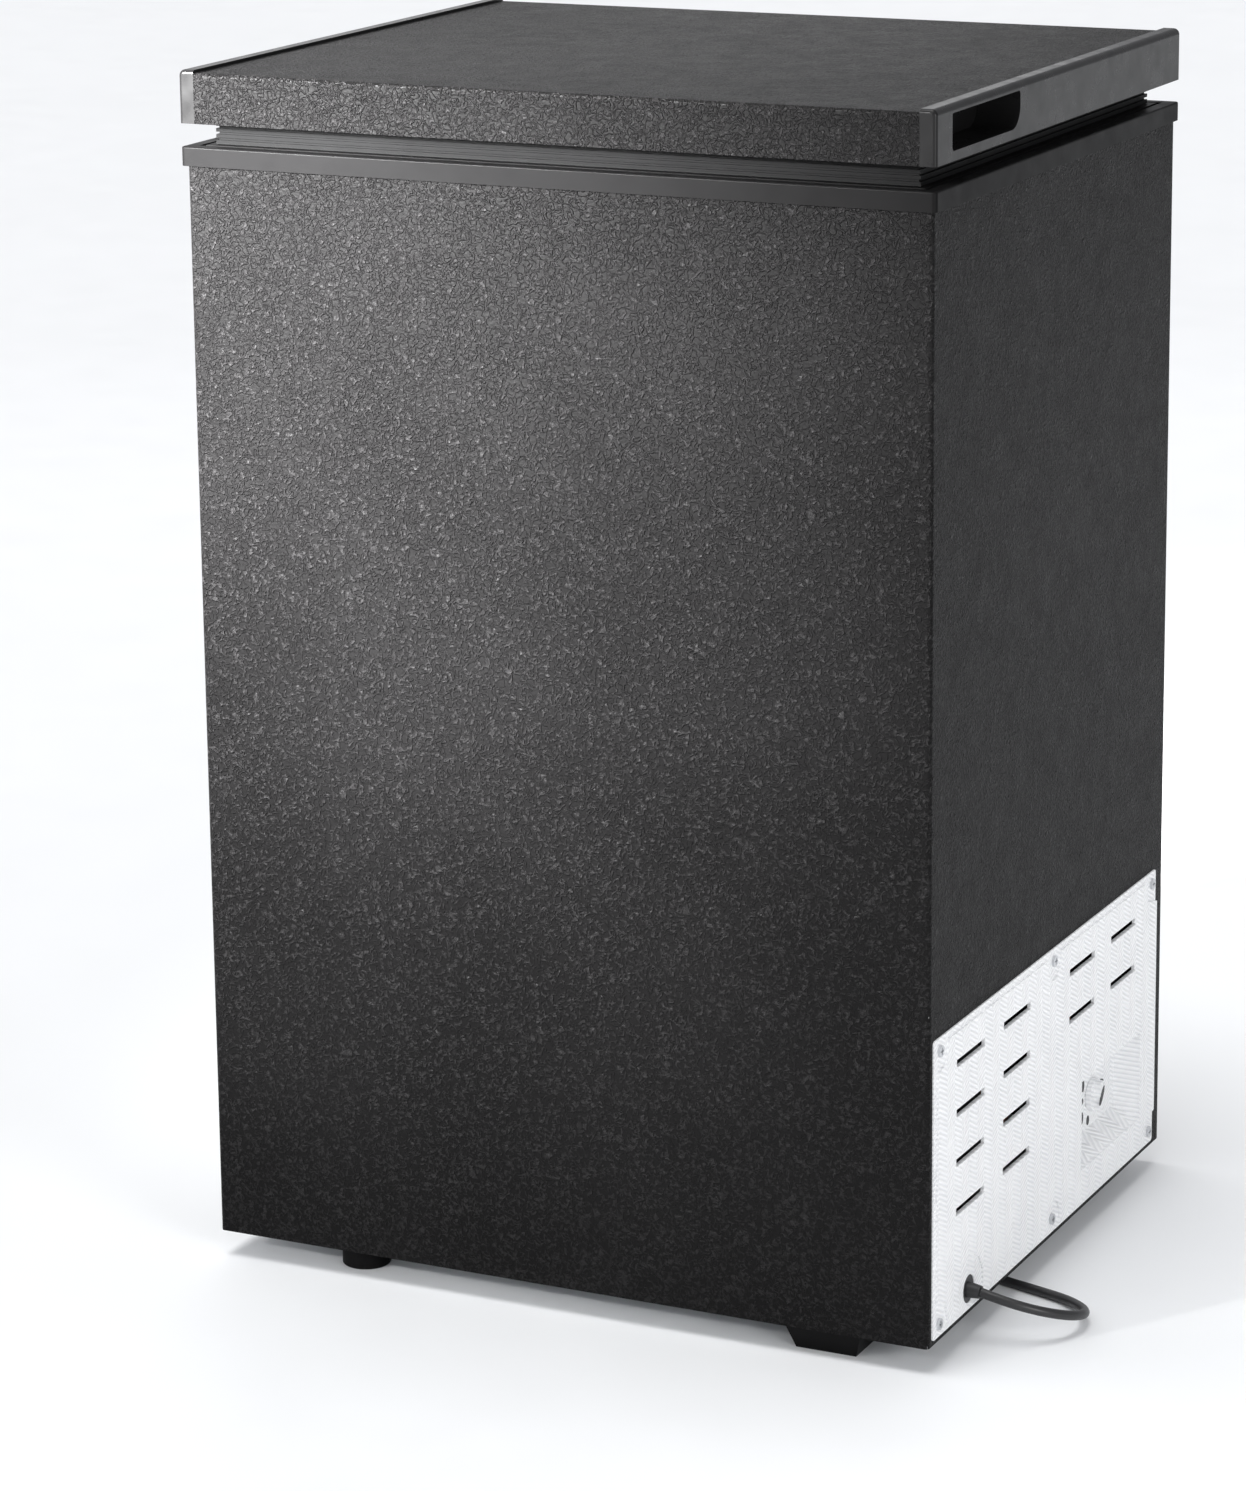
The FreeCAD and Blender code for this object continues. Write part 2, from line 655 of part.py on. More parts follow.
def refrigerant_loops(envelope):
    grow = "(dims.liner_wall + dims.loop_tube_deep)"
    evaporator = wall_loops(
        "evaporator_tube",
        (f"-{ROOM_SIDE} - {grow}", f"{ROOM_FRONT} + dims.ledge_width - {grow}"),
        (f"{ROOM_SIDE} + {grow}", f"{ROOM_REAR} - dims.ledge_width + {grow}"),
        [envelope])
    core = block("condenser_core",
                 (f"-{INSIDE_SIDE} + dims.loop_tube_deep", f"{INSIDE_FRONT} + dims.loop_tube_deep", BAY_ROOF),
                 (f"{INSIDE_SIDE} - dims.loop_tube_deep", f"{INSIDE_REAR} - dims.loop_tube_deep", SHELL_TOP))
    condenser = wall_loops(
        "condenser_tube", (f"-{INSIDE_SIDE}", INSIDE_FRONT), (INSIDE_SIDE, INSIDE_REAR),
        [core, *corner_reliefs("condenser")])
    return evaporator, condenser


def cabinet_foam(tub, loops):
    """Rigid foam between the wrapper, the tub and the compressor bay."""
    bulk = block("foam_bulk",
                 (f"-{INSIDE_SIDE}", INSIDE_FRONT, f"{BOTTOM} + dims.sheet_wall"),
                 (INSIDE_SIDE, INSIDE_REAR, f"{SHELL_TOP} - dims.liner_wall"))
    bay = block("bay_space",
                (f"{BAY_SIDE} - dims.bay_sheet", f"{INSIDE_FRONT} - 1", "0"),
                (f"{INSIDE_SIDE} + 1", f"{INSIDE_REAR} + 1", BAY_ROOF))
    corners = corner_reliefs("foam")
    sockets = [rod(f"foam_socket_{name}", (x, y, BOTTOM), "z", "dims.levelling_stud_radius + 4", "30")
               for name, (x, y) in levelling_spots().items()]
    keep(carved("cabinet_foam", bulk, [tub, bay, *loops, *corners, *sockets]), "cabinet_foam")


def top_collar():
    """Smooth moulded frame that covers the wrapper's edge and carries the gasket."""
    body = new_body("top_collar")
    outer = rectangle(f"-{SIDE}", FRONT, SIDE, REAR)
    shell_edge = rectangle(f"-{SHELL_SIDE}", SHELL_FRONT, SHELL_SIDE, SHELL_REAR)
    mouth = rectangle(f"-{ROOM_SIDE}", ROOM_FRONT, ROOM_SIDE, ROOM_REAR)
    pad(body, "XY_Plane", COLLAR_BOTTOM, SHELL_TOP, [outer, shell_edge])
    pad(body, "XY_Plane", SHELL_TOP, COLLAR_TOP, [outer, mouth])
    inset = "dims.collar_channel_inset"
    reach = "(dims.collar_channel_inset + dims.collar_channel_width)"
    channel = [
        rectangle(f"-{SIDE} + {inset}", f"{FRONT} + {inset}", f"{SIDE} - {inset}", f"{REAR} - {inset}"),
        rectangle(f"-{SIDE} + {reach}", f"{FRONT} + {reach}", f"{SIDE} - {reach}", f"{REAR} - {reach}"),
    ]
    pocket(body, "XY_Plane", f"{COLLAR_TOP} - dims.collar_channel_deep", f"{COLLAR_TOP} + 1", channel)
    rounded(body, "dims.shell_corner",
            lambda p: near(abs(p.x), SIDE) and (near(p.y, FRONT) or near(p.y, REAR)), "z")
    rounded(body, "dims.collar_round",
            lambda p: near(p.z, COLLAR_TOP)
            and (abs(p.x) > size(SIDE) - size("dims.shell_corner") - 0.1
                 or p.y < size(FRONT) + size("dims.shell_corner") + 0.1
                 or p.y > size(REAR) - size("dims.shell_corner") - 0.1))
    rounded(body, "dims.liner_corner",
            lambda p: near(abs(p.x), ROOM_SIDE) and (near(p.y, ROOM_FRONT) or near(p.y, ROOM_REAR)), "z")
    half = "(dims.hinge_width / 2 + 1)"
    notches = [rectangle(f"{sign} * dims.hinge_spread - {half}", f"{COLLAR_BOTTOM} - 1",
                         f"{sign} * dims.hinge_spread + {half}", f"{COLLAR_TOP} + 1") for sign in (-1, 1)]
    pocket(body, "XZ_Plane", SHELL_REAR, f"{REAR} + 1", notches)
    keep(body, "top_collar")


# ---------------------------------------------------------------- compressor cover

COVER_SCREWS = [
    (f"{COVER_FRONT} + 9.5", f"{COVER_TOP} - 8.5"),
    (f"({COVER_FRONT} + {COVER_REAR}) / 2 + 5", f"{COVER_TOP} - 8.5"),
    (f"{COVER_REAR} - 8.5", f"{COVER_TOP} - 8.5"),
    (f"{COVER_FRONT} + 9.5", f"{COVER_BOTTOM} + 9"),
    (f"({COVER_FRONT} + {COVER_REAR}) / 2 + 5", f"{COVER_BOTTOM} + 10"),
    (f"{COVER_REAR} - 8.5", f"{COVER_BOTTOM} + 9"),
]
# Rows of vent slots: how far each column starts behind the cover's front edge, and its slot count.
SLOT_COLUMNS = ((35.5, 4), (117.3, 4), (238.5, 2), (318.7, 2))
TOP_SLOT_DROP = 27.5


def slot_rectangles(grow_low, grow_high):
    """Outlines (y, z) of all vent slots, from grow_low under each slot's foot to grow_high."""
    outlines = []
    for start, count in SLOT_COLUMNS:
        for row in range(count):
            low = f"{COVER_TOP} - {TOP_SLOT_DROP} - {row} * dims.slot_pitch"
            outlines.append(rectangle(f"{COVER_FRONT} + {start}", f"{low} + ({grow_low})",
                                      f"{COVER_FRONT} + {start} + dims.slot_length", f"{low} + ({grow_high})"))
    return outlines


def compressor_cover():
    """White moulded side cover: flat rim, raised field, louvred slots and the control recess."""
    body = new_body("compressor_cover")
    pad(body, "YZ_Plane", SHELL_SIDE, COVER_FACE,
        [rectangle(COVER_FRONT, COVER_BOTTOM, COVER_REAR, COVER_TOP)])
    rim = "dims.cover_rim"
    corner = "(dims.cover_rim + 14)"
    field = [
        (f"{COVER_FRONT} + {corner}", f"{COVER_BOTTOM} + {rim} / 2"),
        (f"{COVER_REAR} - {corner}", f"{COVER_BOTTOM} + {rim} / 2"),
        (f"{COVER_REAR} - {corner} + 4", f"{COVER_BOTTOM} + {corner} - 4"),
        (f"{COVER_REAR}", f"{COVER_BOTTOM} + {corner}"),
        (f"{COVER_REAR}", f"{COVER_TOP} - {corner}"),
        (f"{COVER_REAR} - {corner} + 4", f"{COVER_TOP} - {corner} + 4"),
        (f"{COVER_REAR} - {corner}", f"{COVER_TOP} - {rim} / 2"),
        (f"{COVER_FRONT} + {corner}", f"{COVER_TOP} - {rim} / 2"),
        (f"{COVER_FRONT} + {corner} - 4", f"{COVER_TOP} - {corner} + 4"),
        (f"{COVER_FRONT} + {rim} / 2", f"{COVER_TOP} - {corner}"),
        (f"{COVER_FRONT} + {rim} / 2", f"{COVER_BOTTOM} + {corner}"),
        (f"{COVER_FRONT} + {corner} - 4", f"{COVER_BOTTOM} + {corner} - 4"),
    ]
    pad(body, "YZ_Plane", COVER_FACE, COVER_RAISED, [field])
    rounded(body, "2.5", lambda p: abs(p.x - size(SHELL_SIDE)) < size("dims.cover_flange") + 0.05
            and (near(p.y, COVER_FRONT) or near(p.y, COVER_REAR))
            and (near(p.z, COVER_BOTTOM) or near(p.z, COVER_TOP)), "x")
    for place, number in ((1, 13), (4, 13)):
        y, z = COVER_SCREWS[place]
        pocket(body, "YZ_Plane", COVER_FACE, f"{COVER_RAISED} + 1", [(y, z, str(number))])
    arch = [
        (f"{GLAND_Y} - 22", f"{COVER_BOTTOM}"), (f"{GLAND_Y} + 22", f"{COVER_BOTTOM}"),
        (f"{GLAND_Y} + 22", f"{GLAND_Z} + 6"), (f"{GLAND_Y} + 15", f"{GLAND_Z} + 17"),
        (f"{GLAND_Y} + 6", f"{GLAND_Z} + 22"), (f"{GLAND_Y} - 6", f"{GLAND_Z} + 22"),
        (f"{GLAND_Y} - 15", f"{GLAND_Z} + 17"), (f"{GLAND_Y} - 22", f"{GLAND_Z} + 6"),
    ]
    pocket(body, "YZ_Plane", COVER_FACE, f"{COVER_RAISED} + 1", [arch])
    pad(body, "YZ_Plane", COVER_RAISED, f"{COVER_RAISED} + dims.slot_lip_raise",
        slot_rectangles("-dims.slot_lip", "0"))
    add_recess(body)
    holes = [(y, z, "dims.screw_shank_radius") for y, z in COVER_SCREWS]
    holes.append((GLAND_Y, GLAND_Z, "dims.gland_hole_radius"))
    pocket(body, "YZ_Plane", f"{SHELL_SIDE} - 1", f"{COVER_RAISED} + 2", holes)
    pocket(body, "YZ_Plane", f"{SHELL_SIDE} - 1", f"{COVER_RAISED} + 2",
           slot_rectangles("0", "dims.slot_height"))
    keep(body, "compressor_cover")


def recess_outline(taper, grow):
    """The control recess's outline (y, z); taper pulls its foot up and its ends in."""
    return rectangle(f"{RECESS_REAR} - dims.recess_width + ({taper}) * 0.4 - ({grow})",
                     f"{RECESS_BOTTOM} + ({taper}) - ({grow})",
                     f"{RECESS_REAR} - ({taper}) * 0.3 + ({grow})",
                     f"{RECESS_BOTTOM} + dims.recess_height - ({taper}) * 0.3 + ({grow})")


def add_recess(body):
    """A sloped cup for the thermostat, opening outwards."""
    wall = "dims.recess_wall"
    loft(body, "YZ_Plane", [
        (f"{RECESS_FLOOR} - {wall}", recess_outline("9", wall)),
        (SHELL_SIDE, recess_outline("0", wall)),
    ])
    pocket(body, "YZ_Plane", f"{SHELL_SIDE} - 0.01", f"{COVER_RAISED} + 1", [recess_outline("0", "0")])
    before = body.Shape.Volume
    loft(body, "YZ_Plane", [
        (RECESS_FLOOR, recess_outline("9", "0")),
        (SHELL_SIDE, recess_outline("0", "0")),
    ], kind="PartDesign::SubtractiveLoft")
    assert body.Shape.Volume < before - 1, "the control recess is not hollow"
    pocket(body, "YZ_Plane", f"{RECESS_FLOOR} - {wall} - 1", f"{RECESS_FLOOR} + 1", [
        (KNOB_Y, KNOB_Z, "dims.knob_shaft_radius + 0.8"),
        (f"{KNOB_Y} + 19.5", KNOB_Z, "dims.lamp_radius"),
    ])


def cover_screws():
    screws = [pan_screw(f"cover_screw{number}", (COVER_FACE, y, z), "x", 1,
                        "dims.cover_flange + dims.sheet_wall + 7")
              for number, (y, z) in enumerate(COVER_SCREWS)]
    keep(grouped("cover_screws", screws), "cover_screws")


def thermostat():
    """Thermostat body behind the recess, its shaft, the knob in front and the pilot lamp."""
    wall = "dims.recess_wall"
    back = f"{RECESS_FLOOR} - {wall}"
    case = block("thermostat_case_box",
                 (f"{back} - 26", f"{KNOB_Y} - 19", f"{KNOB_Z} - 15"),
                 (back, f"{KNOB_Y} + 12", f"{KNOB_Z} + 17"))
    shaft = rod("thermostat_shaft", (f"{back} - 2", KNOB_Y, KNOB_Z), "x",
                "dims.knob_shaft_radius", f"{wall} + 2 + dims.knob_height * 0.7")
    keep(joined("thermostat_body", [case, shaft]), "thermostat_body")

    knob = new_body("thermostat_knob")
    seat = f"({RECESS_FLOOR} + dims.moving_gap)"
    pad(knob, "YZ_Plane", seat, f"{seat} + dims.knob_height * 0.45", [(KNOB_Y, KNOB_Z, "dims.knob_radius")])
    grip = rectangle(f"{KNOB_Y} - 3.2", f"{KNOB_Z} - dims.knob_radius * 0.86",
                     f"{KNOB_Y} + 3.2", f"{KNOB_Z} + dims.knob_radius * 0.86")
    pad(knob, "YZ_Plane", f"{seat} + dims.knob_height * 0.45", f"{seat} + dims.knob_height", [grip])
    pocket(knob, "YZ_Plane", f"{seat} - 1", f"{seat} + dims.knob_height * 0.85",
           [(KNOB_Y, KNOB_Z, "dims.knob_shaft_radius + dims.running_clearance")])
    keep(knob, "thermostat_knob")

    lamp = rod("lamp_lens", (f"{back} - 8", f"{KNOB_Y} + 19.5", KNOB_Z), "x",
               "dims.lamp_radius", f"8 + {wall} + 0.8")
    keep(lamp, "pilot_lamp")


# ---------------------------------------------------------------- compressor


def compressor():
    """Two welded steel cups on a foot plate, with the motor inside."""
    centre = (COMPRESSOR_X, COMPRESSOR_Y)
    lower = new_body("compressor_lower_cup")
    pad(lower, "XY_Plane", CAN_BOTTOM, CAN_SEAM, [(*centre, "dims.can_radius")])
    pocket(lower, "XY_Plane", f"{CAN_BOTTOM} + dims.can_wall", f"{CAN_SEAM} + 1",
           [(*centre, "dims.can_radius - dims.can_wall")])
    rounded(lower, "dims.can_round * 0.6 - dims.can_wall",
            lambda p: near(p.z, f"{CAN_BOTTOM} + dims.can_wall"))
    rounded(lower, "dims.can_round * 0.6", lambda p: near(p.z, CAN_BOTTOM))
    pad(lower, "XY_Plane", f"{CAN_SEAM} - 6", CAN_SEAM,
        [(*centre, "dims.can_radius + 3"), (*centre, "dims.can_radius - 0.5")])
    keep(lower, "compressor_lower_cup")

    upper = new_body("compressor_upper_cup")
    pad(upper, "XY_Plane", CAN_SEAM, CAN_TOP, [(*centre, "dims.can_radius")])
    pocket(upper, "XY_Plane", f"{CAN_SEAM} - 1", f"{CAN_TOP} - dims.can_wall",
           [(*centre, "dims.can_radius - dims.can_wall")])
    rounded(upper, "dims.can_round - dims.can_wall", lambda p: near(p.z, f"{CAN_TOP} - dims.can_wall"))
    rounded(upper, "dims.can_round", lambda p: near(p.z, CAN_TOP))
    keep(upper, "compressor_upper_cup")

    inside = f"{CAN_BOTTOM} + dims.can_wall"
    pump = rod("pump_post", (*centre, inside), "z", "dims.can_radius * 0.35", "20")
    stator = rod("pump_stator", (*centre, f"{inside} + 20"), "z", "dims.can_radius * 0.7", "52")
    head = rod("pump_head", (*centre, f"{inside} + 72"), "z", "dims.can_radius * 0.45", "34")
    keep(joined("compressor_motor", [pump, stator, head]), "compressor_motor")

    plate = new_body("compressor_foot_plate")
    half_wide = "(dims.mount_spacing_wide / 2 + 12)"
    half_deep = "(dims.mount_spacing_deep / 2 + 12)"
    pad(plate, "XY_Plane", PLATE_Z, CAN_BOTTOM,
        [rectangle(f"{centre[0]} - {half_wide}", f"{centre[1]} - {half_deep}",
                   f"{centre[0]} + {half_wide}", f"{centre[1]} + {half_deep}")])
    rounded(plate, "10", lambda p: abs(p.x - size(centre[0])) > size(half_wide) - 0.1, "z")
    pocket(plate, "XY_Plane", f"{PLATE_Z} - 1", f"{CAN_BOTTOM} + 1",
           [(x, y, "dims.screw_shank_radius + 4") for x, y in mount_spots()])
    keep(plate, "compressor_foot_plate")


def compressor_mounts():
    """Rubber grommets and their bolts, four of each."""
    grommets = []
    bolts = []
    for number, (x, y) in enumerate(mount_spots()):
        foot = rod(f"grommet_foot{number}", (x, y, TRAY_TOP), "z", "dims.screw_shank_radius + 8",
                   "dims.grommet_height")
        neck = rod(f"grommet_neck{number}", (x, y, PLATE_Z), "z", "dims.screw_shank_radius + 4",
                   "dims.mount_plate_wall")
        cap = rod(f"grommet_cap{number}", (x, y, CAN_BOTTOM), "z", "dims.screw_shank_radius + 6", "3")
        bore = rod(f"grommet_bore{number}", (x, y, BOTTOM), "z", "dims.screw_shank_radius + 1", "60")
        grommets.append(carved(f"grommet{number}", joined(f"grommet_blank{number}", [foot, neck, cap]), [bore]))
        shank = rod(f"bolt_shank{number}", (x, y, BOTTOM), "z", "dims.screw_shank_radius + 1",
                    f"{CAN_BOTTOM} + 3 - {BOTTOM}")
        head = doc.addObject("Part::Prism", f"bolt_head{number}")
        head.Polygon = 6
        head.setExpression("Circumradius", "dims.screw_shank_radius + 4")
        head.setExpression("Height", "5")
        for letter, place in zip("xyz", (x, y, f"{CAN_BOTTOM} + 3")):
            head.setExpression(f".Placement.Base.{letter}", place)
        bolts.append(joined(f"bolt{number}", [shank, head]))
    keep(grouped("compressor_grommets", grommets), "compressor_grommets")
    keep(grouped("compressor_bolts", bolts), "compressor_bolts")


def terminal_cover():
    """Moulded box over the start relay and terminals, on the front of the compressor."""
    x, y = COMPRESSOR_X, COMPRESSOR_Y
    body = new_body("terminal_cover")
    near_face = f"({y} - dims.can_radius - 3 - dims.moving_gap)"
    pad(body, "XZ_Plane", f"{near_face} - 22", near_face,
        [rectangle(f"{x} - 24", f"{CAN_SEAM} - 34", f"{x} + 24", f"{CAN_SEAM} + 18")])
    rounded(body, "5", lambda p: near(p.y, f"{near_face} - 22"))
    keep(body, "terminal_cover")


def refrigerant_pipes():
    """Copper pipes in the bay, the filter drier and the thermostat's sensing tube."""
    x = size(COMPRESSOR_X)
    y = size(COMPRESSOR_Y)
    can = size("dims.can_radius")
    wall = size(BAY_SIDE)
    roof = size(f"{BAY_ROOF} - dims.bay_sheet")
    seam = size(CAN_SEAM)
    back = y + can
    keep(tube("discharge_tube", [
        (x + 22, back - 4, seam + 14), (x + 22, back + 26, seam + 16), (x + 18, back + 50, seam + 44),
        (x - 20, back + 62, seam + 70), (wall, back + 66, seam + 72)], 3.0), "discharge_tube")
    keep(tube("suction_tube", [
        (x - 24, back - 6.5, seam + 8), (x - 26, back + 22, seam + 10), (x - 34, back + 36, seam + 34),
        (x - 38, back + 30, seam + 66), (x - 38, back + 28, roof)], 4.0), "suction_tube")
    drier_x = x - 2
    drier_y = back + 100
    drier_z = size(TRAY_TOP) + 62
    keep(tube("drier_inlet_tube", [
        (wall, drier_y + 44, drier_z + 84), (wall + 26, drier_y + 44, drier_z + 80),
        (drier_x - 8, drier_y + 42, drier_z + 66), (drier_x, drier_y + 44, drier_z + 40),
        (drier_x, drier_y + 36, drier_z + 4), (drier_x, drier_y + 12, drier_z)], 2.5), "drier_inlet_tube")
    keep(tube("capillary_tube", [
        (drier_x, drier_y - 78, drier_z), (drier_x - 8, drier_y - 87, drier_z + 1),
        (drier_x - 24, drier_y - 87, drier_z + 3), (drier_x - 48, drier_y - 80, drier_z + 6),
        (wall, drier_y - 74, drier_z + 8)], 1.2), "capillary_tube")
    flank = can - 1
    keep(tube("process_tube", [
        (x + 0.614 * flank, y + 0.789 * flank, seam - 28), (x + 42, back + 12, seam - 24),
        (x + 46, back + 30, seam - 4), (x + 46, back + 32, seam + 22)], 3.0), "process_tube")
    case_top = size(f"{KNOB_Z} + 17")
    case_x = size(f"{RECESS_FLOOR} - dims.recess_wall - 12")
    knob_y = size(KNOB_Y)
    keep(tube("sensor_tube", [
        (case_x, knob_y, case_top), (case_x, knob_y + 2, case_top + 22),
        (case_x - 14, knob_y + 12, case_top + 52), (case_x - 22, knob_y + 14, case_top + 80),
        (case_x - 22, knob_y + 14, roof)], 1.5), "sensor_tube")
    filter_drier(drier_x, drier_y, drier_z)


def filter_drier(x, y, z):
    """Copper canister with a cone at each end, lying front to back."""
    body = doc.addObject("Part::Cylinder", "drier_canister")
    body.Radius = 9.5
    body.Height = 62
    body.Placement = FreeCAD.Placement(Vector(x, y - 64, z), Rotation(Vector(1, 0, 0), -90))
    cones = []
    for name, start, wide, narrow in (("drier_rear_cone", y - 2, 9.5, 2.5), ("drier_front_cone", y - 78, 2.5, 9.5)):
        cone = doc.addObject("Part::Cone", name)
        cone.Radius1 = wide
        cone.Radius2 = narrow
        cone.Height = 14
        cone.Placement = FreeCAD.Placement(Vector(x, start, z), Rotation(Vector(1, 0, 0), -90))
        cones.append(cone)
    keep(joined("filter_drier", [body, *cones]), "filter_drier")


def inner_leads():
    """Leads inside the bay: gland to terminal cover, and terminal cover to thermostat."""
    x = size(COMPRESSOR_X)
    box_y = size(f"{COMPRESSOR_Y} - dims.can_radius - 12")
    box_z = size(CAN_SEAM)
    gland = (size(f"{SHELL_SIDE} - 14"), size(GLAND_Y), size(GLAND_Z))
    mains = tube("inner_mains_lead", [
        gland, (gland[0] - 12, gland[1], gland[2] + 1), (gland[0] - 22, gland[1] + 3, gland[2] + 14),
        (x + 36, box_y + 2, box_z - 22), (x + 24, box_y, box_z - 18)], 3.0)
    knob_y = size(KNOB_Y)
    case_x = size(f"{RECESS_FLOOR} - dims.recess_wall - 12")
    case_low = size(f"{KNOB_Z} - 15")
    control = tube("thermostat_lead", [
        (x + 24, box_y - 2, box_z), (x + 44, box_y + 1, box_z - 2), (x + 64, box_y + 24, box_z - 20),
        (case_x + 10, box_y + 70, 36), (case_x + 10, box_y + 130, 30), (case_x + 9, knob_y - 40, 30),
        (case_x + 1, knob_y - 12, 36), (case_x, knob_y - 4, case_low)], 2.2)
    keep(grouped("inner_leads", [mains, control]), "inner_leads")


# ---------------------------------------------------------------- feet


def levelling_foot(name):
    """Threaded stud in a socket, with a knurled pad that turns with it."""
    x, y = levelling_spots()[name]
    radius = "dims.levelling_stud_radius"
    stud = rod(f"{name}_stud_rod", (x, y, "3"), "z", radius, f"{BOTTOM} + 15")
    keep(stud, f"levelling_stud_{name}")

    pad_body = new_body(f"levelling_pad_{name}")
    pad(pad_body, "XY_Plane", "0", "dims.levelling_pad_height", [(x, y, "dims.levelling_pad_radius")])
    pad(pad_body, "XY_Plane", "dims.levelling_pad_height", "dims.levelling_pad_height + 1",
        [(x, y, "dims.levelling_pad_radius * 0.5")])
    rounded(pad_body, "1.2", lambda p: near(p.z, "0") and abs(p.x - size(x)) > 8)
    knurl = pocket(pad_body, "XY_Plane", "3", "dims.levelling_pad_height + 1",
                   [(f"{x} + dims.levelling_pad_radius + 0.6", y, "1.4")])
    pattern = pad_body.newObject("PartDesign::PolarPattern", f"{name}_knurls")
    pattern.Originals = [knurl]
    axis = pad_body.newObject("PartDesign::Line", f"{name}_axis")
    axis.AttachmentSupport = [(next(f for f in pad_body.Origin.OriginFeatures if f.Role == "Z_Axis"), "")]
    axis.MapMode = "ObjectZ"
    axis.setExpression(".AttachmentOffset.Base.x", x)
    axis.setExpression(".AttachmentOffset.Base.y", y)
    pattern.Axis = (axis, [""])
    pattern.Angle = 360
    pattern.Occurrences = 30
    pad_body.Tip = pattern
    doc.recompute()
    pocket(pad_body, "XY_Plane", "3", f"{BOTTOM} + 1", [(x, y, f"{radius} + dims.running_clearance")])
    keep(pad_body, f"levelling_pad_{name}")

    sleeve = rod(f"{name}_sleeve", (x, y, f"{BOTTOM} + dims.sheet_wall"), "z", f"{radius} + 4",
                 "30 - dims.sheet_wall")
    bore = rod(f"{name}_sleeve_bore", (x, y, BOTTOM), "z", f"{radius} + dims.running_clearance", "29")
    return carved(f"levelling_socket_{name}", sleeve, [bore])


def levelling_feet():
    sockets = [levelling_foot(name) for name in ("front", "rear")]
    keep(grouped("levelling_sockets", sockets), "levelling_sockets")


def fixed_feet():
    """Tapered moulded feet under the compressor tray, each with one screw."""
    screws = []
    for name, (x, y) in fixed_foot_spots().items():
        body = new_body(f"fixed_foot_{name}")
        half_wide = "dims.fixed_foot_width / 2"
        half_deep = "dims.fixed_foot_deep / 2"
        taper = "dims.fixed_foot_taper"
        loft(body, "XY_Plane", [
            ("0", rectangle(f"{x} - {half_wide}", f"{y} - {half_deep}", f"{x} + {half_wide}", f"{y} + {half_deep}")),
            (BOTTOM, rectangle(f"{x} - {half_wide} - {taper}", f"{y} - {half_deep} - {taper}",
                               f"{x} + {half_wide} + {taper}", f"{y} + {half_deep} + {taper}")),
        ])
        pocket(body, "XY_Plane", "-1", "6", [(x, y, "dims.screw_head_radius + 1")])
        pocket(body, "XY_Plane", "5", f"{BOTTOM} + 1", [(x, y, "dims.screw_shank_radius")])
        keep(body, f"fixed_foot_{name}")
        screws.append(pan_screw(f"foot_screw_{name}", (x, y, "6"), "z", -1, f"{TRAY_TOP} - 6 + 4"))
    keep(grouped("foot_screws", screws), "foot_screws")


# ---------------------------------------------------------------- lid


def lid_skin():
    """Embossed steel top, folded down at the front and the rear."""
    body = new_body("lid_skin")
    profile = [
        (FRONT, LID_BOTTOM), (f"{FRONT} + dims.sheet_wall", LID_BOTTOM),
        (f"{FRONT} + dims.sheet_wall", f"{SKIN_TOP} - dims.sheet_wall"),
        (f"{REAR} - dims.sheet_wall", f"{SKIN_TOP} - dims.sheet_wall"),
        (f"{REAR} - dims.sheet_wall", LID_BOTTOM), (REAR, LID_BOTTOM),
        (REAR, SKIN_TOP), (FRONT, SKIN_TOP),
    ]
    pad(body, "YZ_Plane", f"-{CAP_INNER}", CAP_INNER, [profile])
    rounded(body, "1.4", lambda p: near(p.z, f"{SKIN_TOP} - dims.sheet_wall")
            and (near(p.y, f"{FRONT} + dims.sheet_wall") or near(p.y, f"{REAR} - dims.sheet_wall")), "x")
    rounded(body, "dims.sheet_wall + 1.4",
            lambda p: near(p.z, SKIN_TOP) and (near(p.y, FRONT) or near(p.y, REAR)), "x")
    holes = [(x, z, "dims.screw_shank_radius") for sign in (-1, 1) for x, z in lid_screw_spots(sign)]
    pocket(body, "XZ_Plane", f"{REAR} - dims.sheet_wall - 1", f"{REAR} + 1", holes)
    keep(body, "lid_skin")


def across(sign, near_middle, far):
    """Low and high X of a span on the left (-1) or right (1) side."""
    return (near_middle, far) if sign > 0 else (f"-({far})", f"-({near_middle})")


GRIP_FRONT = f"({FRONT} + dims.grip_inset_front)"
GRIP_REAR = f"({GRIP_FRONT} + dims.grip_length)"
GRIP_BOTTOM = f"({LID_BOTTOM} + dims.grip_inset_bottom)"
GRIP_TOP = f"({GRIP_BOTTOM} + dims.grip_height)"
GRIP_END = f"({SIDE} - dims.grip_deep)"


def grip_box(grow):
    return rectangle(f"{GRIP_FRONT} - ({grow})", f"{GRIP_BOTTOM} - ({grow})",
                     f"{GRIP_REAR} + ({grow})", f"{GRIP_TOP} + ({grow})")


